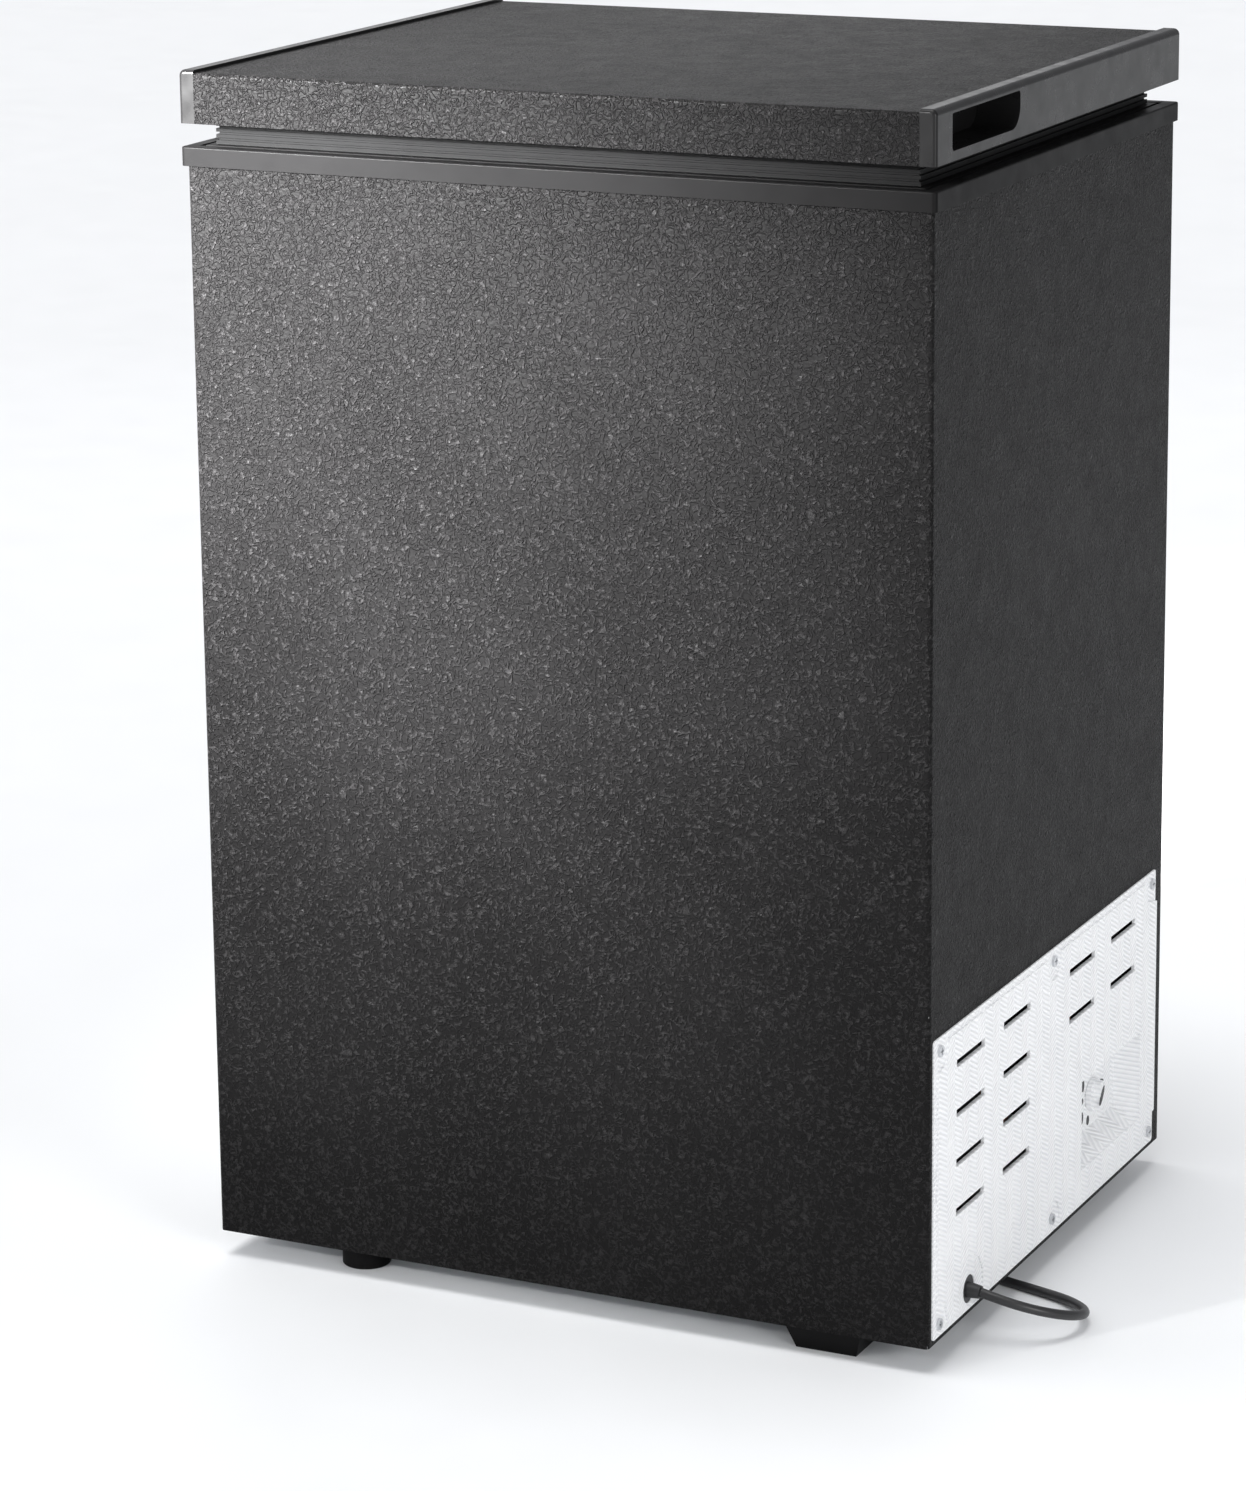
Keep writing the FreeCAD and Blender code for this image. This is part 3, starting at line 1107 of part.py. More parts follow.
def lid_cap(label, sign):
    """Moulded end cap with a finger grip that opens sideways."""
    body = new_body(label)
    low, high = across(sign, CAP_INNER, SIDE)
    pad(body, "YZ_Plane", low, high, [rectangle(FRONT, LID_BOTTOM, REAR, LID_TOP)])
    low, high = across(sign, f"{GRIP_END} - dims.grip_wall", CAP_INNER)
    pad(body, "YZ_Plane", low, high, [grip_box("dims.grip_wall")])
    rounded(body, "dims.cap_round", lambda p: near(p.z, LID_TOP) and near(abs(p.x), SIDE))
    rounded(body, "2.5", lambda p: near(abs(p.x), SIDE) and (near(p.y, FRONT) or near(p.y, REAR)), "z")
    low, high = across(sign, GRIP_END, f"{SIDE} + 1")
    pocket(body, "YZ_Plane", low, high, [grip_box("0")])
    rounded(body, "dims.grip_corner", lambda p: near(p.y, GRIP_REAR) and near(p.z, GRIP_BOTTOM), "x")
    rounded(body, "2.5", lambda p: near(p.y, GRIP_REAR) and near(p.z, GRIP_TOP), "x")
    rounded(body, "1.5", lambda p: near(p.y, GRIP_FRONT) and near(p.z, GRIP_TOP), "x")
    rounded(body, "3", lambda p: near(p.y, GRIP_FRONT) and near(p.z, GRIP_BOTTOM), "x")
    keep(body, label)


def lid_inner_panel():
    """White inner panel of the lid, dished down into the cabinet's mouth."""
    body = new_body("lid_inner_panel")
    edge = "dims.sheet_wall"
    wall = "dims.panel_wall"
    pad(body, "XY_Plane", LID_BOTTOM, f"{LID_BOTTOM} + {wall}",
        [rectangle(f"-{CAP_INNER}", f"{FRONT} + {edge}", CAP_INNER, f"{REAR} - {edge}")])
    gap = "dims.plug_clearance"
    dish = rectangle(f"-{ROOM_SIDE} + {gap}", f"{ROOM_FRONT} + {gap}", f"{ROOM_SIDE} - {gap}", f"{ROOM_REAR} - {gap}")
    pad(body, "XY_Plane", PLUG_BOTTOM, LID_BOTTOM, [dish])
    inner_gap = f"({gap} + {wall})"
    hollow = rectangle(f"-{ROOM_SIDE} + {inner_gap}", f"{ROOM_FRONT} + {inner_gap}",
                       f"{ROOM_SIDE} - {inner_gap}", f"{ROOM_REAR} - {inner_gap}")
    pocket(body, "XY_Plane", f"{PLUG_BOTTOM} + {wall}", f"{LID_BOTTOM} + {wall} + 1", [hollow])
    rounded(body, f"dims.liner_corner - {wall}",
            lambda p: near(abs(p.x), f"{ROOM_SIDE} - {inner_gap}") and p.z > size(PLUG_BOTTOM) + 1, "z")
    rounded(body, "3.5", lambda p: near(p.z, f"{PLUG_BOTTOM} + {wall}"))
    rounded(body, "dims.liner_corner",
            lambda p: near(abs(p.x), f"{ROOM_SIDE} - {gap}") and p.z < size(LID_BOTTOM) + 0.1, "z")
    rounded(body, "5", lambda p: near(p.z, PLUG_BOTTOM))
    keep(body, "lid_inner_panel")


def lid_foam():
    """Foam slab inside the lid, with a block that fills the dished panel."""
    wall = "dims.panel_wall"
    edge = "(dims.sheet_wall + 1.4)"
    slab = block("lid_foam_slab",
                 (f"-{CAP_INNER}", f"{FRONT} + {edge}", f"{LID_BOTTOM} + {wall}"),
                 (CAP_INNER, f"{REAR} - {edge}", f"{SKIN_TOP} - dims.sheet_wall"))
    gap = f"(dims.plug_clearance + {wall} + 6)"
    fill = block("lid_foam_fill",
                 (f"-{ROOM_SIDE} + {gap}", f"{ROOM_FRONT} + {gap}", f"{PLUG_BOTTOM} + {wall}"),
                 (f"{ROOM_SIDE} - {gap}", f"{ROOM_REAR} - {gap}", f"{LID_BOTTOM} + {wall}"))
    grips = []
    for name, sign in (("left", -1), ("right", 1)):
        low, high = across(sign, f"{GRIP_END} - dims.grip_wall", f"{CAP_INNER} + 1")
        grow = "dims.grip_wall"
        grips.append(block(f"foam_grip_{name}",
                           (low, f"{GRIP_FRONT} - {grow}", f"{GRIP_BOTTOM} - {grow}"),
                           (high, f"{GRIP_REAR} + {grow}", f"{SKIN_TOP}")))
    keep(carved("lid_foam", joined("lid_foam_bulk", [slab, fill]), grips), "lid_foam")


def gasket_rings(extra_out, extra_in):
    """Outer and inner outlines of a band that follows the gasket."""
    outer = f"(dims.gasket_inset - ({extra_out}))"
    inner = f"(dims.gasket_inset + dims.gasket_width - ({extra_in}))"
    return [
        rectangle(f"-{SIDE} + {outer}", f"{FRONT} + {outer}", f"{SIDE} - {outer}", f"{REAR} - {outer}"),
        rectangle(f"-{SIDE} + {inner}", f"{FRONT} + {inner}", f"{SIDE} - {inner}", f"{REAR} - {inner}"),
    ]


def lid_gasket():
    """Ribbed sealing profile round the lid, with a chamber for its magnets."""
    body = new_body("lid_gasket")
    foot = f"({COLLAR_TOP} + dims.moving_gap)"
    pad(body, "XY_Plane", foot, LID_BOTTOM, gasket_rings("0", "0"))
    rib = "dims.gasket_rib"
    for level in (2.6, 6.4, 10.2):
        low = f"{foot} + {level}"
        pocket(body, "XY_Plane", low, f"{low} + {rib}", gasket_rings("1", f"dims.gasket_width - {rib}"))
    margin = "(dims.gasket_width - dims.magnet_width) / 2"
    chamber = gasket_rings(f"-({margin})", margin)
    pocket(body, "XY_Plane", f"{foot} + 2.2", f"{LID_BOTTOM} + 1", chamber)
    keep(body, "lid_gasket")

    inner = f"(dims.gasket_inset + {margin})"
    outer = f"({inner} + dims.magnet_width)"
    base = f"{foot} + 2.2"
    top = f"{foot} + 2.2 + dims.magnet_height"
    strips = [
        block("magnet_front", (f"-{SIDE} + {inner}", f"{FRONT} + {inner}", base),
              (f"{SIDE} - {inner}", f"{FRONT} + {outer}", top)),
        block("magnet_rear", (f"-{SIDE} + {inner}", f"{REAR} - {outer}", base),
              (f"{SIDE} - {inner}", f"{REAR} - {inner}", top)),
        block("magnet_left", (f"-{SIDE} + {inner}", f"{FRONT} + {outer} + 1", base),
              (f"-{SIDE} + {outer}", f"{REAR} - {outer} - 1", top)),
        block("magnet_right", (f"{SIDE} - {outer}", f"{FRONT} + {outer} + 1", base),
              (f"{SIDE} - {inner}", f"{REAR} - {outer} - 1", top)),
    ]
    keep(grouped("gasket_magnets", strips), "gasket_magnets")


# ---------------------------------------------------------------- hinges


def hinge(name, sign):
    """Cabinet leaf, lid leaf and pin of one hinge."""
    middle = f"({sign} * dims.hinge_spread)"
    half = "dims.hinge_width / 2"
    half_knuckle = "dims.hinge_knuckle_length / 2"
    clear = "dims.hinge_knuckle_radius + 1.5"
    radius = "dims.hinge_knuckle_radius"
    ears = [(f"{middle} - {half}", f"{middle} - {half_knuckle} - dims.moving_gap"),
            (f"{middle} + {half_knuckle} + dims.moving_gap", f"{middle} + {half}")]

    leaf = new_body(f"hinge_leaf_{name}")
    pad(leaf, "XZ_Plane", SHELL_REAR, f"{SHELL_REAR} + dims.hinge_plate",
        [rectangle(f"{middle} - {half}", f"{COLLAR_BOTTOM} - dims.hinge_leaf_length",
                   f"{middle} + {half}", f"{HINGE_Z} - ({clear})")])
    rounded(leaf, "5", lambda p: near(p.z, f"{COLLAR_BOTTOM} - dims.hinge_leaf_length"), "y")
    for low, high in ears:
        pad(leaf, "YZ_Plane", low, high,
            [rectangle(SHELL_REAR, f"{HINGE_Z} - ({clear}) - 2", HINGE_Y, HINGE_Z)])
        pad(leaf, "YZ_Plane", low, high, [(HINGE_Y, HINGE_Z, radius)])
    pocket(leaf, "YZ_Plane", f"{middle} - {half} - 1", f"{middle} + {half} + 1",
           [(HINGE_Y, HINGE_Z, "dims.hinge_pin_radius")])
    pocket(leaf, "XZ_Plane", f"{SHELL_REAR} - 1", f"{SHELL_REAR} + dims.hinge_plate + 1",
           [(x, z, "dims.screw_shank_radius") for x, z in hinge_screw_spots(sign)])
    keep(leaf, f"hinge_leaf_{name}")

    arm = new_body(f"hinge_arm_{name}")
    knuckle = (f"{middle} - {half_knuckle}", f"{middle} + {half_knuckle}")
    pad(arm, "XZ_Plane", REAR, f"{REAR} + dims.hinge_plate",
        [rectangle(f"{middle} - {half}", f"{LID_BOTTOM} + 2", f"{middle} + {half}",
                   f"{LID_BOTTOM} + dims.lid_leaf_length")])
    rounded(arm, "5", lambda p: near(p.z, f"{LID_BOTTOM} + dims.lid_leaf_length"), "y")
    pad(arm, "YZ_Plane", *knuckle, [rectangle(REAR, HINGE_Z, HINGE_Y, f"{LID_BOTTOM} + 4")])
    pad(arm, "YZ_Plane", *knuckle, [(HINGE_Y, HINGE_Z, radius)])
    pocket(arm, "YZ_Plane", f"{middle} - {half}", f"{middle} + {half}",
           [(HINGE_Y, HINGE_Z, "dims.hinge_pin_radius + dims.running_clearance")])
    pocket(arm, "XZ_Plane", f"{REAR} - 1", f"{REAR} + dims.hinge_plate + 1",
           [(x, z, "dims.screw_shank_radius") for x, z in lid_screw_spots(sign)])
    keep(arm, f"hinge_arm_{name}")
    return rod(f"hinge_pin_{name}", (f"{middle} - {half}", HINGE_Y, HINGE_Z), "x",
               "dims.hinge_pin_radius", "dims.hinge_width")


def hinges():
    pins = [hinge(name, sign) for name, sign in (("left", -1), ("right", 1))]
    keep(grouped("hinge_pins", pins), "hinge_pins")
    cabinet_side = []
    lid_side = []
    grip = "dims.hinge_plate + dims.sheet_wall"
    for sign, name in ((-1, "left"), (1, "right")):
        for number, (x, z) in enumerate(hinge_screw_spots(sign)):
            cabinet_side.append(pan_screw(f"cabinet_screw_{name}{number}",
                                          (x, f"{SHELL_REAR} + dims.hinge_plate", z), "y", 1, grip))
        for number, (x, z) in enumerate(lid_screw_spots(sign)):
            lid_side.append(pan_screw(f"lid_screw_{name}{number}",
                                      (x, f"{REAR} + dims.hinge_plate", z), "y", 1, grip))
    keep(grouped("hinge_leaf_screws", cabinet_side), "hinge_leaf_screws")
    keep(grouped("hinge_arm_screws", lid_side), "hinge_arm_screws")


# ---------------------------------------------------------------- basket


def wire_basket():
    """Coated wire basket that hangs on the tub's two ledges and slides sideways."""
    wire = "dims.basket_wire"
    rim = "dims.basket_rim"
    right = f"({ROOM_SIDE} - dims.basket_side_gap)"
    left = f"({right} - dims.basket_length)"
    rest = f"({LEDGE} + dims.moving_gap)"
    rim_front = f"({ROOM_FRONT} + 1.2)"
    rim_rear = f"({ROOM_REAR} - 1.2)"
    front = f"({ROOM_FRONT} + dims.ledge_width + 2)"
    rear = f"({ROOM_REAR} - dims.ledge_width - 2)"
    floor = f"({rest} - dims.basket_height)"
    bars = []

    def bar(low, high):
        bars.append(block(f"basket_bar{len(bars)}", low, high))

    rim_top = f"({rest} + {rim})"
    bar((left, rim_front, rest), (right, f"{rim_front} + {rim}", rim_top))
    bar((left, f"{rim_rear} - {rim}", rest), (right, rim_rear, rim_top))
    bar((left, rim_front, rest), (f"{left} + {rim}", rim_rear, rim_top))
    bar((f"{right} - {rim}", rim_front, rest), (right, rim_rear, rim_top))
    hook_z = f"({rest} + 0.6)"
    cross_count = 7
    for number in range(cross_count):
        x = f"({left} + {wire} + (dims.basket_length - 3 * {wire}) * {number} / {cross_count - 1})"
        x_end = f"({x} + {wire})"
        bar((x, f"{rim_front} + 1", hook_z), (x_end, f"{front} + {wire}", f"{hook_z} + {wire}"))
        bar((x, f"{rear} - {wire}", hook_z), (x_end, f"{rim_rear} - 1", f"{hook_z} + {wire}"))
        bar((x, front, floor), (x_end, f"{front} + {wire}", f"{hook_z} + {wire}"))
        bar((x, f"{rear} - {wire}", floor), (x_end, rear, f"{hook_z} + {wire}"))
        bar((x, front, floor), (x_end, rear, f"{floor} + {wire}"))
    lift = f"({wire} * 0.5)"
    long_count = 10
    for number in range(1, long_count - 1):
        y = f"({front} + ({rear} - {front} - {wire}) * {number} / {long_count - 1})"
        bar((left, y, f"{floor} + {lift}"), (right, f"{y} + {wire}", f"{floor} + {lift} + {wire}"))
        for x in (left, f"({right} - {wire})"):
            bar((x, y, f"{floor} + {lift}"), (f"{x} + {wire}", f"{y} + {wire}", rim_top))
    for level in (0.06, 0.36, 0.68):
        z = f"({floor} + dims.basket_height * {level})"
        z_end = f"({z} + {wire})"
        bar((left, f"{front} + {lift}", z), (right, f"{front} + {lift} + {wire}", z_end))
        bar((left, f"{rear} - {lift} - {wire}", z), (right, f"{rear} - {lift}", z_end))
        bar((f"{left} + {lift}", f"{front} + {lift}", z), (f"{left} + {lift} + {wire}", f"{rear} - {lift}", z_end))
        bar((f"{right} - {lift} - {wire}", f"{front} + {lift}", z), (f"{right} - {lift}", f"{rear} - {lift}", z_end))
    keep(joined("wire_basket", bars), "wire_basket")


# ---------------------------------------------------------------- mains lead

# Route of the free lead from the tip of its gland to the coil behind the cabinet.
CORD_ROUTE = [
    (269.0, -153.0, 34.6), (291.0, -152.0, 29.0), (318.0, -133.0, 19.0), (324.0, -99.0, 8.5),
    (303.0, -71.0, 3.7), (268.0, -60.0, 3.4), (233.0, -50.0, 3.4), (199.0, -28.0, 3.4),
    (170.0, 6.0, 3.4), (150.0, 52.0, 3.4), (141.0, 104.0, 3.4), (139.0, 156.0, 3.4),
    (127.0, 204.0, 3.4), (96.0, 231.0, 3.4), (54.0, 237.5, 3.4), (9.0, 233.5, 3.4),
]
COIL_CENTRE = (-10.0, 276.0)
COIL_RADIUS = 36.0
COIL_HALF_WIDTH = 10.0
COIL_HEIGHT = 13.4
CORD_TAIL = [(-27.0, 237.5, 9.75), (-62.0, 237.0, 10.5), (-92.0, 241.0, 12.0)]
GLAND_LEAN = Vector(17.5, -0.2, -1.1)


def mains_lead():
    """Gland, free lead, stored coil with its tie, and the plug."""
    radius = size("dims.cord_diameter") / 2
    gland_x = size(f"{SHELL_SIDE} - 14")
    collar = rod("gland_collar", (f"{SHELL_SIDE} - 14", GLAND_Y, GLAND_Z), "x",
                 "dims.gland_hole_radius - 0.2", "14 + dims.cover_flange * 0.5")
    taper = doc.addObject("Part::Cone", "gland_taper")
    taper.setExpression("Radius1", "dims.gland_hole_radius - 3")
    taper.setExpression("Radius2", "dims.cord_diameter / 2 + 1")
    taper.Height = GLAND_LEAN.Length
    taper.Placement = FreeCAD.Placement(Vector(gland_x + 6, size(GLAND_Y), size(GLAND_Z)),
                                        Rotation(Vector(0, 0, 1), GLAND_LEAN))
    keep(joined("cord_gland", [collar, taper]), "cord_gland")
    keep(tube("power_cord", CORD_ROUTE, radius), "power_cord")

    coil = new_body("cord_coil")
    pad(coil, "XY_Plane", "0", str(COIL_HEIGHT), [
        (str(COIL_CENTRE[0]), str(COIL_CENTRE[1]), str(COIL_RADIUS + COIL_HALF_WIDTH)),
        (str(COIL_CENTRE[0]), str(COIL_CENTRE[1]), str(COIL_RADIUS - COIL_HALF_WIDTH))])
    keep(coil, "cord_coil")
    keep(tube("cord_tail", CORD_TAIL, radius), "cord_tail")

    outer = COIL_HALF_WIDTH + 1.2
    tie_x = COIL_CENTRE[0] + COIL_RADIUS
    tie = block("tie_block", (str(tie_x - outer), str(COIL_CENTRE[1] - 6), "0"),
                (str(tie_x + outer + 0.8), str(COIL_CENTRE[1] + 6), str(COIL_HEIGHT + 1.2)))
    keep(carved("cord_tie", tie, [coil]), "cord_tie")
    power_plug()


def power_plug():
    """Moulded three-pin plug lying on its side, with two flat blades and a round pin."""
    x, y, z = CORD_TAIL[-1]
    body = new_body("power_plug")
    half = "dims.plug_width / 2"
    low = f"{x} - 12 - dims.plug_length"
    pad(body, "YZ_Plane", low, f"{x} - 12",
        [rectangle(f"{y} - {half}", "0", f"{y} + {half}", "dims.plug_height")])
    rounded(body, "6", lambda p: near(p.x, f"{x} - 12"))
    pad(body, "YZ_Plane", f"{x} - 13", str(x), [(str(y), str(z), "dims.cord_diameter / 2 + 2")])
    keep(body, "power_plug")
    blades = [block(f"plug_blade{number}", (f"{low} - 16", f"{y} - 3.2", f"{z} + {lift} - 0.75"),
                    (low, f"{y} + 3.2", f"{z} + {lift} + 0.75"))
              for number, lift in enumerate((-6.35, 6.35))]
    pin = rod("plug_pin", (f"{low} - 19", f"{y} + 10", str(z)), "x", "2.4", "19")
    keep(grouped("plug_blades", [*blades, pin]), "plug_blades")


# ---------------------------------------------------------------- build and write


def build():
    outer_shell()
    back_panel()
    base_panel()
    compressor_tray()
    bay_panel()
    envelope = room_solid("liner_envelope", "dims.liner_wall", "dims.liner_corner + dims.liner_wall")
    room = room_solid("storage_room", "0", "dims.liner_corner")
    tub = inner_liner(envelope, room)
    loops = refrigerant_loops(envelope)
    cabinet_foam(tub, loops)
    top_collar()
    compressor_cover()
    cover_screws()
    thermostat()
    compressor()
    compressor_mounts()
    terminal_cover()
    refrigerant_pipes()
    inner_leads()
    levelling_feet()
    fixed_feet()
    lid_skin()
    lid_cap("lid_cap_left", -1)
    lid_cap("lid_cap_right", 1)
    lid_inner_panel()
    lid_foam()
    lid_gasket()
    hinges()
    wire_basket()
    mains_lead()


def check_document():
    """Stop before writing if any object failed or any piece is not a valid solid."""
    doc.recompute()
    for thing in doc.Objects:
        assert not {"Invalid", "Error"} & set(thing.State), f"{thing.Name} failed: {thing.State}"
    for piece in pieces:
        shape = piece.Shape
        assert not shape.isNull() and shape.isValid() and shape.Volume > 0, f"{piece.Label} is not sound"


def write_pieces():
    for piece in pieces:
        piece.Shape.exportStep(f"parts/{piece.Label}.step")
        box = piece.Shape.BoundBox
        print(f"{piece.Label}: {len(piece.Shape.Solids)} solid(s), "
              f"x {box.XMin:.1f}..{box.XMax:.1f}, y {box.YMin:.1f}..{box.YMax:.1f}, "
              f"z {box.ZMin:.1f}..{box.ZMax:.1f}")


build()
check_document()
write_pieces()
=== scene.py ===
# %% [markdown]
# # A small chest freezer
# The engineering model is already exact: every sheet, hinge and pipe has its own solid, and
# each one that moves belongs to a body with a joint. This lesson dresses that model. It loads
# the frame, puts a camera and soft studio lights round it, lays the mains cord, adds the fine
# moulded details that are too small for the engineering model, and then gives each surface a
# finish built from shader nodes.

# %% Load the frame
import json
import math
import bpy
from mathutils import Matrix, Vector


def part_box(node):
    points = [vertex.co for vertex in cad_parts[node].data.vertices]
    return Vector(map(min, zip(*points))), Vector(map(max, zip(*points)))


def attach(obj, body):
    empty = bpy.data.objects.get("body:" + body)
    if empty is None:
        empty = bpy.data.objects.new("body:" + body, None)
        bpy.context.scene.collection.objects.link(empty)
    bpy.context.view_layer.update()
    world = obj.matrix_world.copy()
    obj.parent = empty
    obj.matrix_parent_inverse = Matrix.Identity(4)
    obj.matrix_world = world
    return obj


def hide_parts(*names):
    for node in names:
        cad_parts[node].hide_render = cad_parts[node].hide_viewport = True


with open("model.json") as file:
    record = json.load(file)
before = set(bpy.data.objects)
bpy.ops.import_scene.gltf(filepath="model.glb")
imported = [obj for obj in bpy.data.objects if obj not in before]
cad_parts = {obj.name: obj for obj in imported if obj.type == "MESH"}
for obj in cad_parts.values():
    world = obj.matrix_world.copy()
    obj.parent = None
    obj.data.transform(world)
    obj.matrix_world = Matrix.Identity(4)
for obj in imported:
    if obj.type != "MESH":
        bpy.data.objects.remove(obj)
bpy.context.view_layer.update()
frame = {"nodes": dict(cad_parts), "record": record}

nodes = frame["nodes"]

# %% [markdown]
# ## Camera
# The freezer is seen from its front right corner, from a little above the lid. A long lens
# keeps the upright edges almost parallel, as in a catalogue picture. The camera's three axes
# are worked out from its heading and tilt, and written straight into its matrix.

# %% Place the camera
HEADING = math.radians(25.85)
TILT = math.radians(-13.49)
ROLL = math.radians(-0.61)
CAMERA_PLACE = (1.3418, -2.8862, 1.2022)
SENSOR = 36
LENS = 116.6125
LENS_SHIFT = -0.1006036
forward = Vector((-math.sin(HEADING) * math.cos(TILT), math.cos(HEADING) * math.cos(TILT),
                  math.sin(TILT)))
level_right = Vector((math.cos(HEADING), math.sin(HEADING), 0))
level_up = level_right.cross(forward)
camera_right = math.cos(ROLL) * level_right + math.sin(ROLL) * level_up
camera_up = -math.sin(ROLL) * level_right + math.cos(ROLL) * level_up

camera_data = bpy.data.cameras.new("camera")
camera_data.sensor_width = SENSOR
camera_data.lens = LENS
camera_data.shift_y = LENS_SHIFT
camera = bpy.data.objects.new("camera", camera_data)
bpy.context.scene.collection.objects.link(camera)
axes = Matrix((camera_right, camera_up, -forward)).transposed().to_4x4()
camera.matrix_world = Matrix.Translation(CAMERA_PLACE) @ axes
bpy.context.scene.camera = camera
print("lens", round(camera_data.lens, 1), "mm")

# %% [markdown]
# ## Small helpers
# An operator works on whatever is selected, and loading the frame leaves its nodes selected.
# So everything is deselected before a new primitive is added. A finished piece keeps its place
# in its mesh: its object is put back at the origin, unturned and unscaled.

# %% Selecting and settling
def deselect_all():
    if bpy.context.mode != "OBJECT":
        bpy.ops.object.mode_set(mode="OBJECT")
    bpy.ops.object.select_all(action="DESELECT")


def settle(piece, name):
    """Name a piece and move its place into its mesh."""
    deselect_all()
    piece.select_set(True)
    bpy.context.view_layer.objects.active = piece
    bpy.ops.object.transform_apply(location=True, rotation=True, scale=True)
    piece.name = name
    piece.data.name = name
    return piece


def add_block(low, high):
    """A box between two corners, in metres."""
    deselect_all()
    middle = [(a + b) / 2 for a, b in zip(low, high)]
    bpy.ops.mesh.primitive_cube_add(size=1, location=middle)
    piece = bpy.context.object
    piece.scale = [b - a for a, b in zip(low, high)]
    bpy.ops.object.transform_apply(location=True, rotation=True, scale=True)
    return piece


def cylinder_along_x(radius, depth, place=(0, 0, 0), vertices=32):
    deselect_all()
    bpy.ops.mesh.primitive_cylinder_add(vertices=vertices, radius=radius, depth=depth,
                                        location=place, rotation=(0, math.pi / 2, 0))
    bpy.ops.object.transform_apply(location=True, rotation=True, scale=True)
    return bpy.context.object


def apply_bevel(piece, width, segments=2):
    deselect_all()
    piece.select_set(True)
    bpy.context.view_layer.objects.active = piece
    bevel = piece.modifiers.new("edge", "BEVEL")
    bevel.width = width
    bevel.segments = segments
    bpy.ops.object.modifier_apply(modifier=bevel.name)


def join_pieces(parts, name):
    deselect_all()
    for part in parts:
        part.select_set(True)
    bpy.context.view_layer.objects.active = parts[0]
    bpy.ops.object.join()
    return settle(bpy.context.object, name)


def smooth(piece, angle=35):
    deselect_all()
    piece.select_set(True)
    bpy.context.view_layer.objects.active = piece
    bpy.ops.object.shade_smooth_by_angle(angle=math.radians(angle))


print("helpers ready")

# %% [markdown]
# ## The mains cord
# A cord is a fixed length of something flexible. It leaves the gland low on the compressor
# cover, droops to the floor, turns back under the cabinet between the feet, and the length
# that isn't used lies in a neat coil behind the cabinet. One NURBS spline through a few
# control points gives a smooth line: with order 3 it cuts inside each corner, as a real cord
# does. The coil is a flat spiral in two layers, wound in and then out again. The round section
# is one metre deep and each point's radius brings it down to the cord's own half thickness, so
# that Blender's box round the curve is as small as the cord.

# %% Route of the cord, in metres
CORD_DIAMETER = 0.0065
CORD_ROUTE = [
    (0.269, -0.153, 0.0346), (0.291, -0.152, 0.029), (0.318, -0.133, 0.019),
    (0.324, -0.099, 0.0085), (0.303, -0.071, 0.0037), (0.268, -0.060, 0.0034),
    (0.233, -0.050, 0.0034), (0.199, -0.028, 0.0034), (0.170, 0.006, 0.0034),
    (0.150, 0.052, 0.0034), (0.141, 0.104, 0.0034), (0.139, 0.156, 0.0034),
    (0.127, 0.204, 0.0034), (0.096, 0.231, 0.0034), (0.054, 0.2375, 0.0034),
    (0.009, 0.2335, 0.0034),
]
COIL_CENTRE = (-0.010, 0.276)
COIL_TURNS = 5
POINTS_PER_TURN = 14
CORD_TAIL = [(-0.027, 0.2375, 0.0101), (-0.062, 0.237, 0.0106), (-0.092, 0.241, 0.012)]


def coil_points():
    """Turns of the coil: radius and height for each turn, clockwise seen from above."""
    radii = [0.0432, 0.0365, 0.0298, 0.0298, 0.0365, 0.0392]
    heights = [0.0034, 0.0034, 0.0034, 0.0101, 0.0101, 0.0101]
    points = []
    for number in range(1, COIL_TURNS * POINTS_PER_TURN):
        turn = number / POINTS_PER_TURN
        whole = int(turn)
        part = turn - whole
        radius = radii[whole] + (radii[whole + 1] - radii[whole]) * part
        height = heights[whole] + (heights[whole + 1] - heights[whole]) * part
        angle = -math.pi / 2 - 2 * math.pi * turn
        points.append((COIL_CENTRE[0] + radius * math.cos(angle),
                       COIL_CENTRE[1] + radius * math.sin(angle), height))
    return points


cord_points = CORD_ROUTE + coil_points() + CORD_TAIL
print("control points:", len(cord_points))

# %% Draw the cord
def make_cord(name, points, diameter):
    curve = bpy.data.curves.new(name, "CURVE")
    curve.dimensions = "3D"
    curve.resolution_u = 6
    curve.bevel_depth = 1.0 if diameter else 0.0
    curve.bevel_resolution = 5
    curve.use_fill_caps = True
    spline = curve.splines.new("NURBS")
    spline.points.add(len(points) - 1)
    for control, place in zip(spline.points, points):
        control.co = (*place, 1)
        control.radius = diameter / 2
    spline.order_u = 3
    spline.use_endpoint_u = True
    piece = bpy.data.objects.new(name, curve)
    bpy.context.scene.collection.objects.link(piece)
    return piece


def line_length(points):
    """Length of the smooth line, read from an unbevelled copy."""
    plain = make_cord("plain_line", points, 0)
    mesh = bpy.data.meshes.new_from_object(plain)
    places = [vertex.co.copy() for vertex in mesh.vertices]
    bpy.data.objects.remove(plain)
    return sum((b - a).length for a, b in zip(places, places[1:]))


cord_length = line_length(cord_points)
mains_cord = make_cord("mains_cord", cord_points, CORD_DIAMETER)
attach(mains_cord, "cabinet")
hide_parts("power_cord", "cord_coil", "cord_tail")
print("cord length", round(cord_length, 3), "m")

# %% [markdown]
# ## The plug
# A moulded plug is a soft-edged block with finger grooves across its sides and a short ribbed
# sleeve where the cord goes in. A cube is placed at the engineering model's plug, its sides
# are cut into bands, and every other band is pushed in a little before the edges are rounded.

